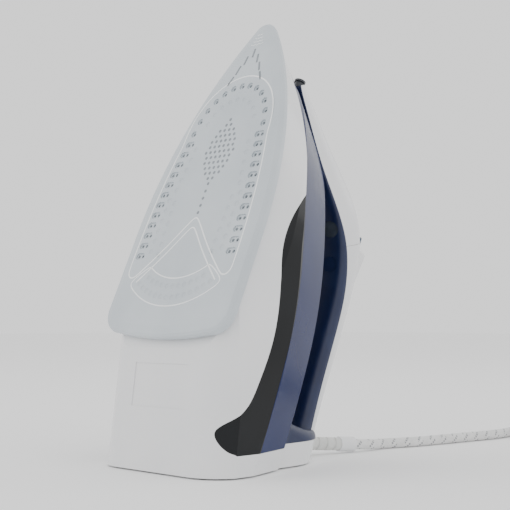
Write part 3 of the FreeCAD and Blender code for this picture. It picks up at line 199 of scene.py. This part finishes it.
@dataclass(frozen=True)
class CoatedPlate(Moulded):
    """The sole's ceramic coat: pale on its face, with painted shade that turns the blind dimples' floors grey
    and the steam bores near black.

    Attributes:
        painted_bore_shade: sRGB colour of the painted shade down in the steam bores.
        painted_dimple_shade: sRGB colour of the painted shade on the dimples' floors.
        field_half: half width of the field of holes, in mm.
        bore_depth: depth past which a hole is a bore, in mm.
        dimple_span: depths between which the dimples' floors lie, in mm.
        taper_from: how far along the field of holes begins to narrow, in mm.
        taper: how fast it narrows from there, per metre.
    """

    # Painted shade colours, not the coat's own: near black down the bores, grey on the dimples' floors.
    painted_bore_shade: str = "#17191C"
    painted_dimple_shade: str = "#878E94"
    field_half: float = 47.0
    bore_depth: float = 1.0
    dimple_span: tuple[float, float] = (0.2, 0.7)
    taper_from: float = -100.0
    taper: float = 4.0

    def tint(self, tree: bpy.types.NodeTree, place: bpy.types.NodeSocket) -> bpy.types.NodeSocket:
        """Pale coat, with painted shade that darkens the bores and greys the dimples; see Finish.tint."""
        coat = Finish.tint(self, tree, place)
        lean = {"Location": (0, -REST_Y * MM, -REST_Z * MM), "Rotation": (-math.pi / 2 - LEAN, 0, 0)}
        lying = add_node(tree, "Mapping", lean, {"Vector": place}, vector_type="TEXTURE")
        split = add_node(tree, "SeparateXYZ", links={0: lying.outputs[0]})
        across = add_node(tree, "Math", links={0: split.outputs[0]}, operation="ABSOLUTE")
        ahead = add_node(tree, "Math", {1: self.taper_from * MM}, {0: split.outputs[1]}, operation="SUBTRACT")
        past = add_node(tree, "Math", {1: 0.0}, {0: ahead.outputs[0]}, operation="MINIMUM")
        square = add_node(tree, "Math", links={0: past.outputs[0], 1: past.outputs[0]}, operation="MULTIPLY")
        narrow = add_node(tree, "Math", {1: self.taper}, {0: square.outputs[0], 2: across.outputs[0]},
                          operation="MULTIPLY_ADD")
        inside = add_node(tree, "Math", {1: self.field_half * MM}, {0: narrow.outputs[0]},
                          operation="LESS_THAN")
        rise = split.outputs[2]
        # Painted shade: inside the field of holes, how far below the face a point lies decides whether it gets
        # the dimple or the bore shade.
        nearest, furthest = self.dimple_span
        deep = add_node(tree, "Math", {1: self.bore_depth * MM}, {0: rise}, operation="GREATER_THAN")
        low = add_node(tree, "Math", {1: nearest * MM}, {0: rise}, operation="GREATER_THAN")
        high = add_node(tree, "Math", {1: furthest * MM}, {0: rise}, operation="LESS_THAN")
        between = add_node(tree, "Math", links={0: low.outputs[0], 1: high.outputs[0]}, operation="MULTIPLY")
        colour = coat
        for depth, shade in ((between, self.painted_dimple_shade), (deep, self.painted_bore_shade)):
            both = {0: inside.outputs[0], 1: depth.outputs[0]}
            mask = add_node(tree, "Math", links=both, operation="MULTIPLY")
            mix = add_node(tree, "Mix", {7: linear(shade)}, {0: mask.outputs[0], 6: colour}, data_type="RGBA")
            colour = mix.outputs[2]
        return colour


@dataclass(frozen=True)
class Drawn(Finish):
    """Metal with tool marks: drawn or brushed lines along an axis, by stretching the noise.

    Attributes:
        line: width of a tool mark, in mm.
        stretch: how many times longer than wide a mark is, along each axis.
        depth: depth of a mark, in mm.
    """

    line: float = 0.35
    stretch: tuple[float, float, float] = (1.0, 1.0, 1.0)
    depth: float = 0.004

    def relief(self, tree: bpy.types.NodeTree, place: bpy.types.NodeSocket) -> bpy.types.NodeSocket:
        """Tool marks; see Finish.relief."""
        scale = [1 / (self.line * MM * share) for share in self.stretch]
        along = add_node(tree, "Mapping", {"Scale": scale}, {"Vector": place})
        marks = add_node(tree, "TexNoise", {"Scale": 1.0, "Detail": 3.0}, {"Vector": along.outputs[0]})
        bump = add_node(tree, "Bump", {"Distance": self.depth * MM, "Strength": 1.0},
                        {"Height": marks.outputs[0]})
        return bump.outputs[0]


@dataclass(frozen=True)
class Braided(Finish):
    """Braided polyester yarn over a round cord: crossed diagonal yarns, with groups of dark flecks along it.

    The UV map runs once round the cord in u, and in v by the same measure along it.

    Attributes:
        fleck: sRGB colour of the dark yarn.
        yarns: yarns round the cord in each direction.
        group: length from one group of flecks to the next, in turns round the cord.
        strokes: slanted strokes round the cord in a group.
        filled: share of the length that a group takes.
        stroke: share of its pitch that a stroke takes.
        over: share of a stroke where its yarn lies on top.
        height: height of a yarn over the cord, in mm.
    """

    fleck: str = "#85888C"
    yarns: int = 8
    group: float = 0.53
    strokes: int = 4
    filled: float = 0.42
    stroke: float = 0.4
    over: float = 0.62
    height: float = 0.35

    def diagonal(self, tree: bpy.types.NodeTree, side: int, count: int) -> bpy.types.NodeSocket:
        """A saw-tooth from 0 to 1 across each diagonal yarn.

        Args:
            tree: the material's node tree.
            side: 1 or -1, for the yarn's direction.
            count: yarns round the cord.

        Returns:
            The saw-tooth's socket.
        """
        split = add_node(tree, "SeparateXYZ", links={0: add_node(tree, "TexCoord").outputs["UV"]})
        slant = add_node(tree, "Math", {1: side}, {0: split.outputs[1]}, operation="MULTIPLY")
        both = add_node(tree, "Math", links={0: split.outputs[0], 1: slant.outputs[0]}, operation="ADD")
        spread = add_node(tree, "Math", {1: count}, {0: both.outputs[0]}, operation="MULTIPLY")
        return add_node(tree, "Math", links={0: spread.outputs[0]}, operation="FRACT").outputs[0]

    def tint(self, tree: bpy.types.NodeTree, place: bpy.types.NodeSocket) -> bpy.types.NodeSocket:
        """White yarn with slanted dark flecks in groups along the cord; see Finish.tint."""
        ground = Finish.tint(self, tree, place)
        split = add_node(tree, "SeparateXYZ", links={0: add_node(tree, "TexCoord").outputs["UV"]})
        reach = add_node(tree, "Math", {1: self.group}, {0: split.outputs[1]}, operation="DIVIDE")
        saw = add_node(tree, "Math", links={0: reach.outputs[0]}, operation="FRACT")
        inside = add_node(tree, "Math", {1: self.filled}, {0: saw.outputs[0]}, operation="LESS_THAN")
        slanted = self.diagonal(tree, 1, self.strokes)
        stroke = add_node(tree, "Math", {1: self.stroke}, {0: slanted}, operation="LESS_THAN")
        against = self.diagonal(tree, -1, self.yarns)
        crossed = add_node(tree, "Math", {1: self.over}, {0: against}, operation="LESS_THAN")
        first = add_node(tree, "Math", links={0: inside.outputs[0], 1: stroke.outputs[0]}, operation="MULTIPLY")
        mask = add_node(tree, "Math", links={0: first.outputs[0], 1: crossed.outputs[0]}, operation="MULTIPLY")
        mix = add_node(tree, "Mix", {7: linear(self.fleck)}, {0: mask.outputs[0], 6: ground}, data_type="RGBA")
        return mix.outputs[2]

    def relief(self, tree: bpy.types.NodeTree, place: bpy.types.NodeSocket) -> bpy.types.NodeSocket:
        """Rounded yarns that cross over each other; see Finish.relief."""
        humps = []
        for side in (1, -1):
            half_turn = add_node(tree, "Math", {1: math.pi}, {0: self.diagonal(tree, side, self.yarns)},
                                 operation="MULTIPLY")
            humps.append(add_node(tree, "Math", links={0: half_turn.outputs[0]}, operation="SINE").outputs[0])
        height = add_node(tree, "Math", links={0: humps[0], 1: humps[1]}, operation="MAXIMUM")
        bump = add_node(tree, "Bump", {"Distance": self.height * MM, "Strength": 1.0},
                        {"Height": height.outputs[0]})
        return bump.outputs[0]


class Slot(Enum):
    """The record's material slots."""

    SOLE = "sole_face"
    CAST = "cast_aluminium"
    SHEATH = "sheath_steel"
    SCREW = "screw_steel"
    SHIELD = "shield_plastic"
    WHITE = "white_plastic"
    PANEL = "panel_plastic"
    TANK = "tank_plastic"
    GRIP = "grip_plastic"
    KNOB = "knob_plastic"
    DARK = "dark_plastic"
    BUTTON = "button_plastic"
    INNER = "inner_plastic"
    LENS = "lens_plastic"
    HOSE = "hose_rubber"
    GUARD = "guard_rubber"
    BRAID = "braid"
    PLUG = "plug_plastic"
    BLADE = "blade_brass"
    BRASS = "brass"


GLOSSY = {"Coat Weight": 0.5, "Coat Roughness": 0.06, "IOR": 1.53}
METAL = {"Metallic": 1.0}

FINISHES = {
    # Ceramic-coated aluminium, sprayed and baked: pale pearl with a satin gloss and a faint orange peel, with
    # painted shade in its bores and dimples.
    Slot.SOLE: CoatedPlate("ceramic_coated_plate", "#BCC4CA", "#C6CDD2", 0.38, 0.03, 45.0,
                           {"Coat Weight": 0.15, "Coat Roughness": 0.2, "IOR": 1.5}, 1.6, 0.008),
    # Sand-cast aluminium: dull, light grey and pebbled.
    Slot.CAST: Drawn("cast_aluminium", "#7C7D80", "#6A6B6E", 0.55, 0.08, 8.0, METAL, 0.7, (1, 1, 1), 0.03),
    # Heater sheath, drawn steel with heat tint: darker patches along the tube.
    Slot.SHEATH: Drawn("drawn_steel_sheath", "#8E8A84", "#6F675E", 0.38, 0.07, 10.0, METAL),
    # Zinc-plated screws: bright, with turning marks.
    Slot.SCREW: Drawn("zinc_plated_steel", "#B4B6B8", "#9DA0A4", 0.28, 0.05, 4.0, METAL, 0.2),
    # Glass-filled phenolic: near black, dull, with a slight speckle.
    Slot.SHIELD: Moulded("glass_filled_phenolic", "#232325", "#2C2C2E", 0.62, 0.05, 6.0,
                         {"IOR": 1.6}, 0.5, 0.02),
    # Polished ABS: clean white with a soft even gloss.
    Slot.WHITE: Moulded("white_gloss_abs", "#E9E9EA", "#E4E5E7", 0.24, 0.03, 60.0,
                        {"Coat Weight": 0.3, "Coat Roughness": 0.12, "IOR": 1.54}, 2.2, 0.003),
    # Piano-black ABS: deep and mirror-like, with a weak reflection.
    Slot.PANEL: Moulded("black_gloss_abs", "#080A0D", "#0D1013", 0.1, 0.02, 40.0,
                        {"Specular IOR Level": 0.28}, 2.5, 0.002),
    # Tinted SAN, clear moulded: dark blue, glassy, a little light comes through.
    Slot.TANK: Moulded("tinted_clear_san", "#17224E", "#202B57", 0.2, 0.03, 50.0,
                       {"Specular IOR Level": 0.15, "Transmission Weight": 0.06},
                       2.5, 0.002),
    # Soft-touch elastomer over-moulding: deep navy, matt, with a fine grain.
    Slot.GRIP: Moulded("soft_touch_elastomer", "#101C40", "#152347", 0.42, 0.05, 20.0,
                       {"IOR": 1.5}, 0.5, 0.015),
    # Gloss ABS knob: slate blue with a clear highlight.
    Slot.KNOB: Moulded("slate_gloss_abs", "#2A3E52", "#31475C", 0.25, 0.04, 12.0, GLOSSY, 0.8, 0.004),
    # Satin ABS: charcoal, softly shining.
    Slot.DARK: Moulded("dark_satin_abs", "#1E2128", "#262A32", 0.34, 0.05, 12.0, {"IOR": 1.54}, 0.6, 0.01),
    # Gloss ABS buttons: grey blue, brighter than the knob.
    Slot.BUTTON: Moulded("grey_blue_abs", "#59657F", "#64708A", 0.3, 0.04, 10.0, GLOSSY, 0.8, 0.004),
    # Natural nylon, unpainted: warm grey and slightly milky.
    Slot.INNER: Moulded("natural_nylon", "#C9C7BD", "#BDBBB1", 0.48, 0.05, 10.0,
                        {"IOR": 1.53, "Subsurface Weight": 0.1}, 0.6, 0.012),
    # Smoked polycarbonate: dark glass with a sharp highlight.
    Slot.LENS: Moulded("smoked_polycarbonate", "#3A4048", "#454C55", 0.1, 0.02, 8.0,
                       {"IOR": 1.58, "Coat Weight": 0.6, "Coat Roughness": 0.04, "Transmission Weight": 0.2},
                       1.5, 0.002),
    # Silicone hose: milky, with a dull skin.
    Slot.HOSE: Moulded("silicone_hose", "#CFCFC9", "#C3C4BE", 0.5, 0.05, 8.0,
                       {"IOR": 1.43, "Subsurface Weight": 0.15}, 0.8, 0.01),
    # PVC moulded onto the cord: pale grey, semi-matt.
    Slot.GUARD: Moulded("moulded_pale_pvc", "#D9D9D6", "#D0D1CE", 0.45, 0.05, 10.0, {"IOR": 1.54}, 0.5, 0.012),
    # Polyester yarn: white, fuzzy at a grazing angle.
    Slot.BRAID: Braided("braided_polyester", "#E9E9E8", "#DEDEDD", 0.72, 0.06, 6.0,
                        {"Sheen Weight": 0.35, "Sheen Roughness": 0.5}),
    Slot.PLUG: Moulded("moulded_plug_pvc", "#DEDEDB", "#D5D6D3", 0.4, 0.05, 12.0, {"IOR": 1.54}, 0.6, 0.012),
    # Stamped brass, nickel-plated blades: pale yellow with fine lengthwise marks.
    Slot.BLADE: Drawn("stamped_brass", "#CDB87C", "#BFA868", 0.26, 0.05, 5.0, METAL, 0.15, (1, 12, 1), 0.003),
    Slot.BRASS: Drawn("turned_brass", "#C9A561", "#B9944F", 0.3, 0.05, 5.0, METAL, 0.15, (1, 1, 1), 0.004),
}

# Pad-printed ink: flat and dull, lying on the coating.
WHITE_INK = Moulded("white_pad_ink", "#FAFBFB", "#F4F6F6", 0.5, 0.03, 12.0, {"IOR": 1.48}, 0.4, 0.004)
GREY_INK = Moulded("grey_pad_ink", "#7F868C", "#8A9096", 0.5, 0.03, 12.0, {"IOR": 1.48}, 0.4, 0.004)


@dataclass
class Palette:
    """The built materials, each made once.

    Attributes:
        made: materials by their finish's name.
    """

    made: dict = field(default_factory=dict)

    def of(self, finish: Finish) -> bpy.types.Material:
        """The material of a finish, built at its first use."""
        if finish.name not in self.made:
            self.made[finish.name] = finish.build()
        return self.made[finish.name]

    def dress(self, piece: bpy.types.Object, finish: Finish) -> None:
        """Gives a new piece its one material."""
        piece.data.materials.clear()
        piece.data.materials.append(self.of(finish))

    def dress_nodes(self) -> None:
        """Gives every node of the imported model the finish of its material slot."""
        for name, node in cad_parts.items():
            for own in node.material_slots:
                slot = Slot(own.material.name.split(".")[0])
                own.material = self.of(FINISHES[slot])
            LOG.info("dressed node %s", name)


def mesh_object(name: str, mesh: bpy.types.Mesh) -> bpy.types.Object:
    """An object in the scene that shows a mesh."""
    made = bpy.data.objects.new(name, mesh)
    bpy.context.scene.collection.objects.link(made)
    return made


def wire(name: str, points: list[Vector], closed: bool = False) -> bpy.types.Object:
    """A smooth curve object with the given control points.

    Args:
        name: the object's name.
        points: the spline's control points.
        closed: whether the spline is a loop.

    Returns:
        The curve's object.
    """
    data = bpy.data.curves.new(name, "CURVE")
    data.dimensions = "3D"
    spline = data.splines.new("NURBS")
    spline.points.add(len(points) - 1)
    for at, point in enumerate(points):
        spline.points[at].co = (*point, 1.0)
    spline.use_cyclic_u = closed
    spline.order_u = 3
    spline.use_endpoint_u = not closed
    made = bpy.data.objects.new(name, data)
    bpy.context.scene.collection.objects.link(made)
    return made


def evaluated_mesh(source: bpy.types.Object) -> bpy.types.Mesh:
    """The mesh that a curve object shows now."""
    bpy.context.view_layer.update()
    graph = bpy.context.evaluated_depsgraph_get()
    return bpy.data.meshes.new_from_object(source.evaluated_get(graph))


class Lay(Enum):
    """The two layers of the stored coil."""

    LOWER = 0
    UPPER = 1


@dataclass
class MainsLead:
    """The braided mains lead: along the floor from the collar, and wound up beside its plug.

    Attributes:
        route: control points from the collar to the coil's rim, in metres.
        centre: middle of the coil on the floor, in metres.
        diameter: the cord's diameter.
        outer: radius of the coil's outermost turn at the cord's middle.
        inner: radius of its innermost turn.
        leave: radius at which it leaves the upper layer for the plug.
        down: turns wound inwards on the floor.
        rise: part of a turn on which it climbs to the upper layer.
        turns: all turns together.
        per_turn: control points per turn.
        plug_back: control points from the coil into the plug's sleeve.
        steps: how finely each piece of the line is divided.
        facets: how finely the cord's round section is divided.
    """

    route: tuple = ((0.01209, 0.11389, 0.00553), (0.0149, 0.1273, 0.0045), (0.0130, 0.1460, 0.0037),
                    (0.0206, 0.1690, 0.0036), (0.0252, 0.2040, 0.0036), (0.0286, 0.2365, 0.0036),
                    (0.0316, 0.2640, 0.0036), (0.0265, 0.2930, 0.0036), (0.0262, 0.3110, 0.0036))
    centre: tuple = (0.0780, 0.3200, 0.0)
    diameter: float = 0.0072
    outer: float = 0.0518
    inner: float = 0.0302
    leave: float = 0.0464
    down: float = 3.0
    rise: float = 0.25
    turns: float = 5.5
    per_turn: int = 24
    plug_back: tuple = ((0.1243, 0.3120, 0.0108), (0.1226, 0.3000, 0.0108), (0.1212, 0.2900, 0.0108),
                        (0.1212, 0.2830, 0.0108))
    steps: int = 6
    facets: int = 6

    def height(self, lay: Lay) -> float:
        """Height of the cord's middle in a layer."""
        return self.diameter * (0.5 + lay.value)

    def coil_point(self, turn: float) -> Vector:
        """A control point of the coil.

        Args:
            turn: how many turns have been wound up to it.

        Returns:
            The point in the row frame.
        """
        low, high = self.height(Lay.LOWER), self.height(Lay.UPPER)
        if turn <= self.down:
            radius, z = self.outer - self.diameter * turn, low
        elif turn <= self.down + self.rise:
            radius, z = self.inner, low + (high - low) * (turn - self.down) / self.rise
        else:
            share = (turn - self.down - self.rise) / (self.turns - self.down - self.rise)
            radius, z = self.inner + (self.leave - self.inner) * share, high
        radius /= math.cos(math.pi / self.per_turn)
        angle = math.pi - 2 * math.pi * turn
        return Vector(self.centre) + Vector((radius * math.cos(angle), radius * math.sin(angle), z))

    def line(self) -> bpy.types.Object:
        """The lead's centre line as a smooth curve object."""
        count = round(self.turns * self.per_turn)
        coil = [self.coil_point(step / self.per_turn) for step in range(1, count)]
        points = [Vector(p) for p in self.route] + coil + [Vector(p) for p in self.plug_back]
        curve = wire("lead_line", points)
        curve.data.resolution_u = self.steps
        return curve

    def build(self, palette: Palette) -> None:
        """Args:
            palette: where its finish comes from.
        """
        curve = self.line()
        path = [vertex.co.copy() for vertex in evaluated_mesh(curve).vertices]
        curve.data.bevel_depth = self.diameter / 2
        curve.data.bevel_resolution = self.facets
        mesh = evaluated_mesh(curve)
        bpy.data.objects.remove(curve)
        self.map_along(mesh, path)
        lead = mesh_object("mains_lead_braided", mesh)
        mesh.shade_smooth()
        palette.dress(lead, FINISHES[Slot.BRAID])
        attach(lead, "iron")
        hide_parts("mains_cord", "cord_coil")

    def map_along(self, mesh: bpy.types.Mesh, path: list[Vector]) -> None:
        """Lays a UV map once round the cord, and by the same measure along it.

        Args:
            mesh: the swept cord, ring after ring.
            path: the middle of each ring.
        """
        ring = len(mesh.vertices) // len(path)
        around = math.pi * self.diameter
        reach = [0.0]
        for first, second in zip(path, path[1:]):
            reach.append(reach[-1] + (second - first).length / around)
        layer = mesh.uv_layers[0] if mesh.uv_layers else mesh.uv_layers.new(name="UVMap")
        for face in mesh.polygons:
            places = [mesh.loops[loop].vertex_index % ring for loop in face.loop_indices]
            wraps = 0 in places and ring - 1 in places
            for loop, place in zip(face.loop_indices, places):
                step = ring if wraps and place == 0 else place
                row = mesh.loops[loop].vertex_index // ring
                layer.data[loop].uv = (step / ring, reach[row])


@dataclass
class SolePrint:
    """Ink printed on the coated sole: border, chevron, crescent, leaf of dots, slits and hatch.

    All places are in the lying frame, in mm.

    Attributes:
        line: width of a printed line.
        ink: thickness of the ink.
        front: how far along the foremost pair of holes is.
        arch: half width and length of the border's front arch.
        waist: half width of the border beside its rear corners.
        rear: how far along the border's rear corners are.
        apex: how far along the chevron's apex is.
        arch_power: how blunt the front arch is.
        side_power: how the border's sides swell towards the heel.
        corner: the border from its rear corner to beside the chevron's apex.
        bow_centre: how far along the middle of the crescent's bows is.
        bow_outer: radius of the crescent's outer bow.
        bow_inner: radius of its inner bow.
        bow_tip: a corner of the crescent.
        hatch_line: width of a hatch line.
        slit_line: width of a slit.
        slit_half: half length of a slit.
        slit_lean: how much a slit leans out, per millimetre from the middle.
        slits_at: middles of the slits.
        dot: radius of a dot.
        dot_facets: sides of a dot.
        leaf_rows: rows of dots in the leaf.
        leaf_widest: dots in its widest row.
        leaf_pitch: distance between dots across and along.
        leaf_start: how far along its first row is.
        stem_dots: dots in its stem.
        stem_pitch: distance between them.
        stem_start: how far along the stem's first dot is.
    """

    line: float = 0.9
    ink: float = 0.05
    front: float = -138.9
    arch: tuple = (40.0, 48.5)
    waist: float = 49.0
    rear: float = -47.0
    apex: float = -82.0
    arch_power: float = 0.9
    side_power: float = 2.4
    corner: tuple = ((48.4, -43.2), (46.2, -40.6), (43.0, -40.0), (39.5, -41.6), (20.0, -60.5), (4.0, -79.0))
    bow_centre: float = -87.4
    bow_outer: float = 67.5
    bow_inner: float = 48.5
    bow_tip: tuple = (42.5, -38.0)
    hatch_line: float = 0.35
    slit_line: float = 1.5
    slit_half: float = 3.4
    slit_lean: float = 0.12
    slits_at: tuple = ((0, -206), (5.5, -201), (-5.5, -201), (10, -194), (-10, -194), (14, -186), (-14, -186))
    dot: float = 1.15
    dot_facets: int = 14
    leaf_rows: int = 13
    leaf_widest: float = 6.6
    leaf_pitch: tuple = (4.3, 4.0)
    leaf_start: float = -106.0
    stem_dots: int = 4
    stem_pitch: float = 5.2
    stem_start: float = -85.0

    def border(self) -> list[tuple[float, float]]:
        """The closed line round the field of holes, with its chevron at the heel side."""
        right = []
        for step in range(17):
            turn = math.radians(90 - 90 * step / 16)
            reach = self.arch[1] * math.sin(turn) ** self.arch_power
            right.append((self.arch[0] * math.cos(turn), self.front - reach))
        for step in range(1, 9):
            share = step / 8
            along = self.front + (self.rear - self.front) * share
            right.append((self.waist - (self.waist - self.arch[0]) * (1 - share) ** self.side_power, along))
        right += self.corner
        left = [(-x, y) for x, y in reversed(right[1:])]
        return [*right, (0.0, self.apex), *left]

    def chevron(self) -> list[tuple[float, float]]:
        """The second line of the chevron, nearer the heel."""
        half = [(0.0, self.apex + 7.0), (3.6, self.apex + 9.5), (19.0, -54.5), (37.5, -37.0)]
        return [(-x, y) for x, y in reversed(half[1:])] + half

    def bow(self, radius: float, degrees: range) -> list[tuple[float, float]]:
        """Points on one of the crescent's bows.

        Args:
            radius: the bow's radius.
            degrees: angles from the middle line at which it has points.

        Returns:
            The points, across and along the sole.
        """
        turns = [math.radians(degree) for degree in degrees]
        return [(radius * math.sin(turn), self.bow_centre + radius * math.cos(turn)) for turn in turns]

    def crescent(self) -> list[tuple[float, float]]:
        """The closed line round the two bowed rows of dimples at the heel."""
        x, y = self.bow_tip
        return [*self.bow(self.bow_outer, range(-38, 39, 4)), (x, y),
                *self.bow(self.bow_inner, range(36, -37, -4)), (-x, y)]

    def ribbon(self, points: list[tuple[float, float]], closed: bool, width: float) -> bpy.types.Mesh:
        """A flat printed line.

        Args:
            points: where it runs, across and along the sole.
            closed: whether it closes on itself.
            width: the line's width.

        Returns:
            Its mesh, in the lying frame.
        """
        curve = wire("line", [Vector((x, y, -0.5 * self.ink)) for x, y in points], closed)
        curve.data.resolution_u = 5
        curve.data.extrude = width / 2
        curve.data.bevel_depth = self.ink
        curve.data.bevel_resolution = 0
        curve.data.use_fill_caps = True
        for point in curve.data.splines[0].points:
            point.tilt = math.pi / 2
        mesh = evaluated_mesh(curve)
        bpy.data.objects.remove(curve)
        return mesh

    def leaf(self) -> list[tuple[float, float]]:
        """Places of the small printed dots: a leaf and its stem."""
        places = [(0.0, self.stem_start - self.stem_pitch * step) for step in range(self.stem_dots)]
        for row in range(self.leaf_rows):
            share = math.sin(math.pi * (row + 0.6) / self.leaf_rows)
            count = max(1, round(self.leaf_widest * share))
            across, along = self.leaf_pitch
            places += [(across * (step - (count - 1) / 2), self.leaf_start - along * row)
                       for step in range(count)]
        return places

    def slits(self) -> list[list[tuple[float, float]]]:
        """Short lines that fan out behind the tip."""
        return [[(side + self.slit_lean * side * share, along + self.slit_half * share) for share in (1, 0, -1)]
                for side, along in self.slits_at]

    def put(self, palette: Palette, name: str, meshes: list[bpy.types.Mesh], finish: Finish) -> None:
        """Joins flat meshes into one printed piece that stands with the sole.

        Args:
            palette: where the finish comes from.
            name: the piece's name.
            meshes: its parts, in the lying frame.
            finish: its ink.
        """
        form = bmesh.new()
        for mesh in meshes:
            form.from_mesh(mesh)
            bpy.data.meshes.remove(mesh)
        form.transform(standing())
        bmesh.ops.recalc_face_normals(form, faces=form.faces)
        whole = bpy.data.meshes.new(name)
        form.to_mesh(whole)
        form.free()
        piece = mesh_object(name, whole)
        palette.dress(piece, finish)
        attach(piece, "iron")
        LOG.info("printed %s", name)

    def dots(self) -> bpy.types.Mesh:
        """The leaf's dots as thin discs."""
        form = bmesh.new()
        for x, y in self.leaf():
            place = Matrix.Translation((x, y, -0.5 * self.ink))
            bmesh.ops.create_cone(form, cap_ends=True, segments=self.dot_facets, radius1=self.dot,
                                  radius2=self.dot, depth=1.6 * self.ink, matrix=place)
        mesh = bpy.data.meshes.new("dots")
        form.to_mesh(mesh)
        form.free()
        return mesh

    def hatch(self) -> list[list[tuple[float, float]]]:
        """Fine zigzag lines across the tip."""
        lines = []
        for row in range(4):
            along, half = -221.0 + 2.6 * row, 2.4 + 1.1 * row
            lines.append([(half * (step / 3 - 1), along + (0.9 if step % 2 else -0.3)) for step in range(7)])
        return lines

    def build(self, palette: Palette) -> None:
        """Prints the white and the grey marks."""
        white = [self.ribbon(self.border(), True, self.line), self.ribbon(self.chevron(), False, self.line),
                 self.ribbon(self.crescent(), True, 0.8 * self.line)]
        white += [self.ribbon(line, False, self.hatch_line) for line in self.hatch()]
        self.put(palette, "sole_white_marks", white, WHITE_INK)
        grey = [self.dots()] + [self.ribbon(line, False, self.slit_line) for line in self.slits()]
        self.put(palette, "sole_grey_marks", grey, GREY_INK)


@dataclass(frozen=True)
class SoftLight:
    """A square soft light that looks at the iron.

    Attributes:
        name: the light's name.
        place: where it stands, in metres.
        size: its side, in metres.
        power: its power, in watts.
    """

    name: str
    place: tuple[float, float, float]
    size: float
    power: float

    def build(self) -> None:
        """Makes the light and turns it to the iron."""
        data = bpy.data.lights.new(self.name, "AREA")
        data.size, data.energy = self.size, self.power
        made = bpy.data.objects.new(self.name, data)
        made.location = self.place
        aim = Vector((0.0, 0.05, 0.12)) - Vector(self.place)
        made.rotation_euler = aim.to_track_quat("-Z", "Y").to_euler()
        bpy.context.scene.collection.objects.link(made)


@dataclass
class Studio:
    """Floor, soft lights, pale surroundings and the camera.

    Attributes:
        camera_place: where the camera stands, in metres.
        camera_way: the way it looks.
        lens: its focal length on a 36 mm sensor.
        floor_half: half the floor's side, in metres.
        surround: strength of the white surroundings.
        lights: the soft lights.
    """

    camera_place: tuple = (0.5447, -0.5035, 0.0928)
    camera_way: tuple = (-0.7137, 0.6982, 0.0559)
    lens: float = 81.2
    floor_half: float = 6.0
    surround: float = 1.25
    lights: tuple = (SoftLight("key_left", (-0.9, -1.3, 1.0), 1.0, 4.5),
                     SoftLight("fill_right", (1.5, -0.3, 0.8), 1.2, 1.0),
                     SoftLight("top", (0.0, 0.3, 1.8), 1.6, 3.0),
                     SoftLight("rim_back", (0.6, 1.4, 0.9), 0.8, 2.0))

    def camera(self) -> None:
        """The camera, with its depth of field off."""
        data = bpy.data.cameras.new("camera")
        data.lens, data.sensor_width, data.clip_start = self.lens, 36.0, 0.01
        made = bpy.data.objects.new("camera", data)
        made.location = self.camera_place
        made.rotation_euler = Vector(self.camera_way).to_track_quat("-Z", "Y").to_euler()
        bpy.context.scene.collection.objects.link(made)
        bpy.context.scene.camera = made

    def floor(self) -> None:
        """A plain pale floor."""
        form = bmesh.new()
        bmesh.ops.create_grid(form, x_segments=1, y_segments=1, size=self.floor_half)
        mesh = bpy.data.meshes.new("floor")
        form.to_mesh(mesh)
        form.free()
        ground = mesh_object("floor", mesh)
        material = bpy.data.materials.new("pale_studio_floor")
        material.use_nodes = True
        shader = material.node_tree.nodes["Principled BSDF"]
        shader.inputs["Base Color"].default_value = linear("#FAFAFA")
        shader.inputs["Roughness"].default_value = 0.9
        mesh.materials.append(material)

    def build(self) -> None:
        """Sets up the studio apart from its camera."""
        self.floor()
        for light in self.lights:
            light.build()
        world = bpy.data.worlds.new("pale_surroundings")
        world.use_nodes = True
        world.node_tree.nodes["Background"].inputs["Color"].default_value = linear("#FFFFFF")
        world.node_tree.nodes["Background"].inputs["Strength"].default_value = self.surround
        bpy.context.scene.world = world


def main() -> None:
    """Builds the camera, the lead, the finishes and the studio, in that order."""
    logging.basicConfig(level=logging.INFO, format="%(name)s: %(message)s")
    studio = Studio()
    studio.camera()
    palette = Palette()
    MainsLead().build(palette)
    palette.dress_nodes()
    SolePrint().build(palette)
    studio.build()


if __name__ == "__main__":
    main()
